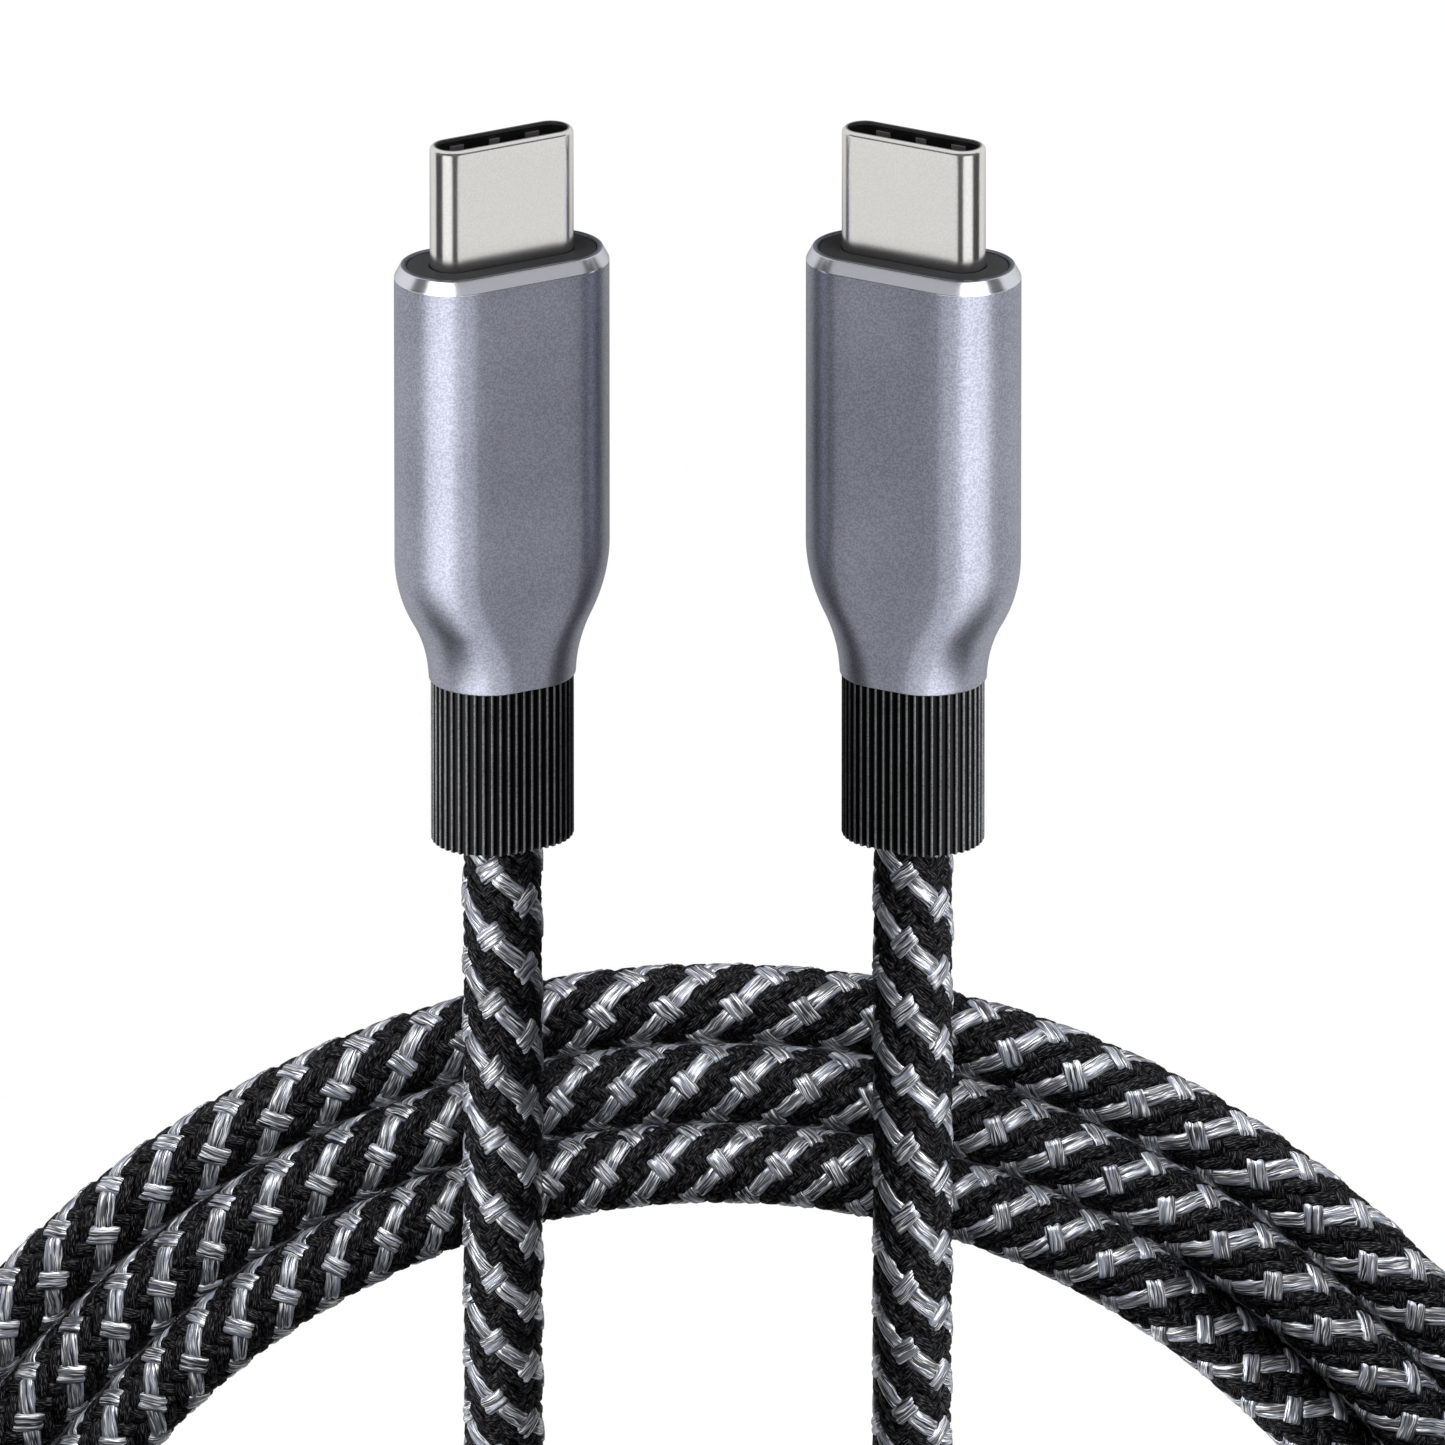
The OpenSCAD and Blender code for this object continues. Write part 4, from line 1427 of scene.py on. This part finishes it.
        # Painted highlight: the crests take a paler copy of the rubber, standing in for the light they
        # catch
        first = quads[:, 0]
        crest = np.isin(first % count % len(phases), z.rib_crest) & (first < outside * count)
        plan = MeshPlan(self._laid(np.vstack(rings)), quads, [], crest.astype(int))
        piece = plan.build("ribbed_relief" + self.side.mark, (Finish.RUBBER, Finish.RIB))
        self._finish_piece(piece, "strain_relief")

    def build(self, nodes: dict[str, bpy.types.Object]) -> None:
        """Builds the outside pieces and dresses the rest.

        Args:
            nodes: The CAD nodes.
        """
        self.housing()
        self.front_insert()
        self.shell()
        self.mouth_tabs()
        self.strain_relief()
        for stem, finish in INSIDE.items():
            node = nodes.get(stem + self.side.mark)
            if node is not None:
                node.data.materials.clear()
                node.data.materials.append(finish.material())
                self.pieces["shell"].append(node)
                LOG.info("%s: %s", node.name, finish.value.name)


INSIDE = {
    "contact_housing": Finish.CONTACT_PLASTIC,
    "upper_contacts": Finish.GOLD,
    "lower_contacts": Finish.GOLD,
    "upper_screen_spring": Finish.SPRING,
    "lower_screen_spring": Finish.SPRING,
    "latch_spring": Finish.SPRING,
    "circuit_board": Finish.BOARD,
    "marker_chip": Finish.CHIP,
    "board_components": Finish.CAPACITOR,
    "power_wire": Finish.WIRE_RED,
    "ground_wire": Finish.WIRE_BLACK,
    "signal_wires": Finish.WIRE_GREEN,
    "upper_shield": Finish.TIN,
    "lower_shield": Finish.TIN,
    "inner_mould": Finish.MOULD,
    "crimp_ring": Finish.TIN,
    "cable_end": Finish.CORE,
}


# ---- Studio ----


@dataclass(frozen=True)
class Softbox:
    """A soft lamp for one group of pieces, and its mirror image for the other plug. In degrees."""

    name: str
    lights: str
    turn: float
    lean: float
    width: float
    height: float
    brightness: float
    own_shade: bool = False
    distance: float = 0.6

    def build(self, side: Side, groups: dict[str, list[bpy.types.Object]]) -> None:
        """Makes the lamp on one side.

        Args:
            side: The side of the plug, lead or half of the coil that it lights.
            groups: The pieces of each group.
        """
        turn, lean = math.radians(self.turn), math.radians(self.lean)
        flat, reach = math.cos(lean), 2 * self.distance
        out = Vector((side.value * math.sin(turn) * flat, math.sin(lean), math.cos(turn) * flat))
        data = bpy.data.lights.new(self.name + side.mark, "AREA")
        data.shape = "RECTANGLE"
        data.size = reach * math.tan(math.radians(self.width / 2))
        data.size_y = reach * math.tan(math.radians(self.height / 2))
        data.energy = self.brightness * math.pi * data.size * data.size_y
        lamp = new_object(data.name, data)
        across = Vector((0.0, 1.0, 0.0)).cross(out).normalized()
        axes = Matrix((across, out.cross(across), out)).transposed().to_4x4()
        lamp.matrix_world = Matrix.Translation(out * self.distance) @ axes
        lit = bpy.data.collections.new("lit_by_" + data.name)
        pieces = groups.get(self.lights + side.mark) or groups[self.lights]
        for piece in pieces:
            lit.objects.link(piece)
        lamp.light_linking.receiver_collection = lit
        if self.own_shade:
            # Neighbouring turns of the coil do not shade one another
            shading = bpy.data.collections.new("shading_" + data.name)
            for piece in pieces + groups["lead_a"] + groups["lead_b"]:
                shading.objects.link(piece)
            lamp.light_linking.blocker_collection = shading


@dataclass
class Studio:
    """Camera, floor, lamps and world."""

    lean: float = math.radians(23.15)
    target: Point = (0.000776, -0.01436, 0.003)
    field: float = 0.07605
    lens: float = 1500.0
    sensor: float = 36.0
    floor_size: float = 6.0
    floor_gap: float = 0.00002
    paper: Colour = (0.8, 0.8, 0.8)
    contact_reach: float = 0.006
    contact_open: tuple[float, float] = (0.04, 0.26)
    shade_reach: float = 0.03
    shade_open: tuple[float, float] = (0.35, 1.0)
    behind: Colour = (0.03, 0.031, 0.033)
    ahead: Colour = (0.17, 0.172, 0.178)
    turning: tuple[float, float] = (-0.7, 0.5)
    clip: tuple[float, float] = (0.05, 20.0)
    softboxes: tuple[Softbox, ...] = (
        Softbox("housing_key", "housing", 26, 7, 56, 82, 2.7),
        Softbox("housing_fill", "housing", -22, -28, 60, 64, 1.25),
        Softbox("housing_flank", "housing", 76, -18, 38, 36, 0.8),
        Softbox("housing_back", "housing", -38, 32, 66, 30, 0.45),
        Softbox("shell_key", "shell", 26, -23, 46, 74, 1.2),
        Softbox("shell_fill", "shell", -58, -23, 64, 74, 0.9),
        Softbox("shell_back", "shell", 0, 80, 100, 28, 0.8),
        Softbox("plate_key", "front_insert", 80, 50, 36, 50, 3.0),
        Softbox("relief_key", "strain_relief", 54, -10, 50, 70, 5.2),
        Softbox("lead_key", "lead", 43, 0, 46, 60, 5.2),
        *(Softbox(f"coil_{k}_key", f"coil_{k}", 25, 60, 64, 44, 3.3, True) for k in range(1, 5)),
    )

    def camera(self) -> None:
        """Makes the camera, which looks down on the plugs from beyond their noses."""
        data = bpy.data.cameras.new("camera")
        data.lens, data.sensor_width = self.lens, self.sensor
        data.clip_start, data.clip_end = self.clip
        back = Vector((0.0, math.sin(self.lean), math.cos(self.lean)))
        up = Vector((0.0, math.cos(self.lean), -math.sin(self.lean)))
        distance = self.field * self.lens / self.sensor
        at = Vector(self.target) + back * distance
        camera = new_object("camera", data)
        axes = Matrix((Vector((1.0, 0.0, 0.0)), up, back)).transposed()
        camera.matrix_world = Matrix.Translation(at) @ axes.to_4x4()
        bpy.context.scene.camera = camera

    def floor(self) -> None:
        """Makes the pale floor, which keeps a soft shadow."""
        half = self.floor_size / 2
        mesh = bpy.data.meshes.new("floor")
        square = [(-half, -half, 0), (half, -half, 0), (half, half, 0), (-half, half, 0)]
        mesh.from_pydata(square, [], [(0, 1, 2, 3)])
        floor = new_object("floor", mesh)
        floor.location.z = -self.floor_gap
        material, sketch = new_material("floor")
        path = sketch.add("LightPath").outputs
        # White where it is open, and left to its own shade where the object stands close
        near, far = (
            sketch.dress(sketch.add("AmbientOcclusion"), Distance=reach).outputs["AO"]
            for reach in (self.contact_reach, self.shade_reach)
        )
        seen = sketch.times(path["Is Camera Ray"], sketch.ramp(near, *self.contact_open))
        mirrored = sketch.times(path["Is Glossy Ray"], sketch.ramp(far, *self.shade_open))
        seen = sketch.math("MAXIMUM", seen, mirrored)
        seen = sketch.math("MAXIMUM", seen, path["Is Transmission Ray"])
        paper = sketch.dress(sketch.add("BsdfDiffuse"), Color=opaque(self.paper))
        white = sketch.add("Emission")
        sketch.show(sketch.add("MixShader", seen, paper.outputs[0], white.outputs[0]))
        mesh.materials.append(material)

    def world(self) -> None:
        """Makes the world: dim, and darkest on the side that the plugs turn their backs to."""
        world = bpy.data.worlds.new("studio")
        world.use_nodes = True
        sketch = NodeSketch(world.node_tree)
        split = sketch.add("SeparateXYZ", sketch.add("TexCoord").outputs["Generated"])
        colour = sketch.mix(sketch.ramp(split.outputs[1], *self.turning), self.behind, self.ahead)
        background = sketch.dress(sketch.add("Background"), Color=colour, Strength=1.0)
        sketch.show(background, "OutputWorld")
        bpy.context.scene.world = world

    def lamps(self, groups: dict[str, list[bpy.types.Object]]) -> None:
        """Makes the lamps.

        Args:
            groups: The pieces of each group.
        """
        for softbox in self.softboxes:
            for side in Side:
                softbox.build(side, groups)
        bpy.context.scene.view_settings.view_transform = "Standard"


def corners(box: tuple[Vector, Vector]) -> list[list[float]]:
    """A box's two corners as plain lists."""
    return [[float(x) for x in corner] for corner in box]


def main() -> None:
    """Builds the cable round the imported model."""
    logging.basicConfig(level=logging.INFO, format="%(name)s: %(message)s")
    for leftover in list(bpy.data.objects):
        bpy.data.objects.remove(leftover)
    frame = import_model()
    studio = Studio()
    studio.camera()
    groups = Cord().build()
    for side in Side:
        plug = Plug(side, PlugSizes())
        plug.build(frame["nodes"])
        groups.update({name + side.mark: pieces for name, pieces in plug.pieces.items()})
    studio.floor()
    studio.world()
    studio.lamps(groups)
    bpy.context.view_layer.update()


if __name__ == "__main__":
    main()
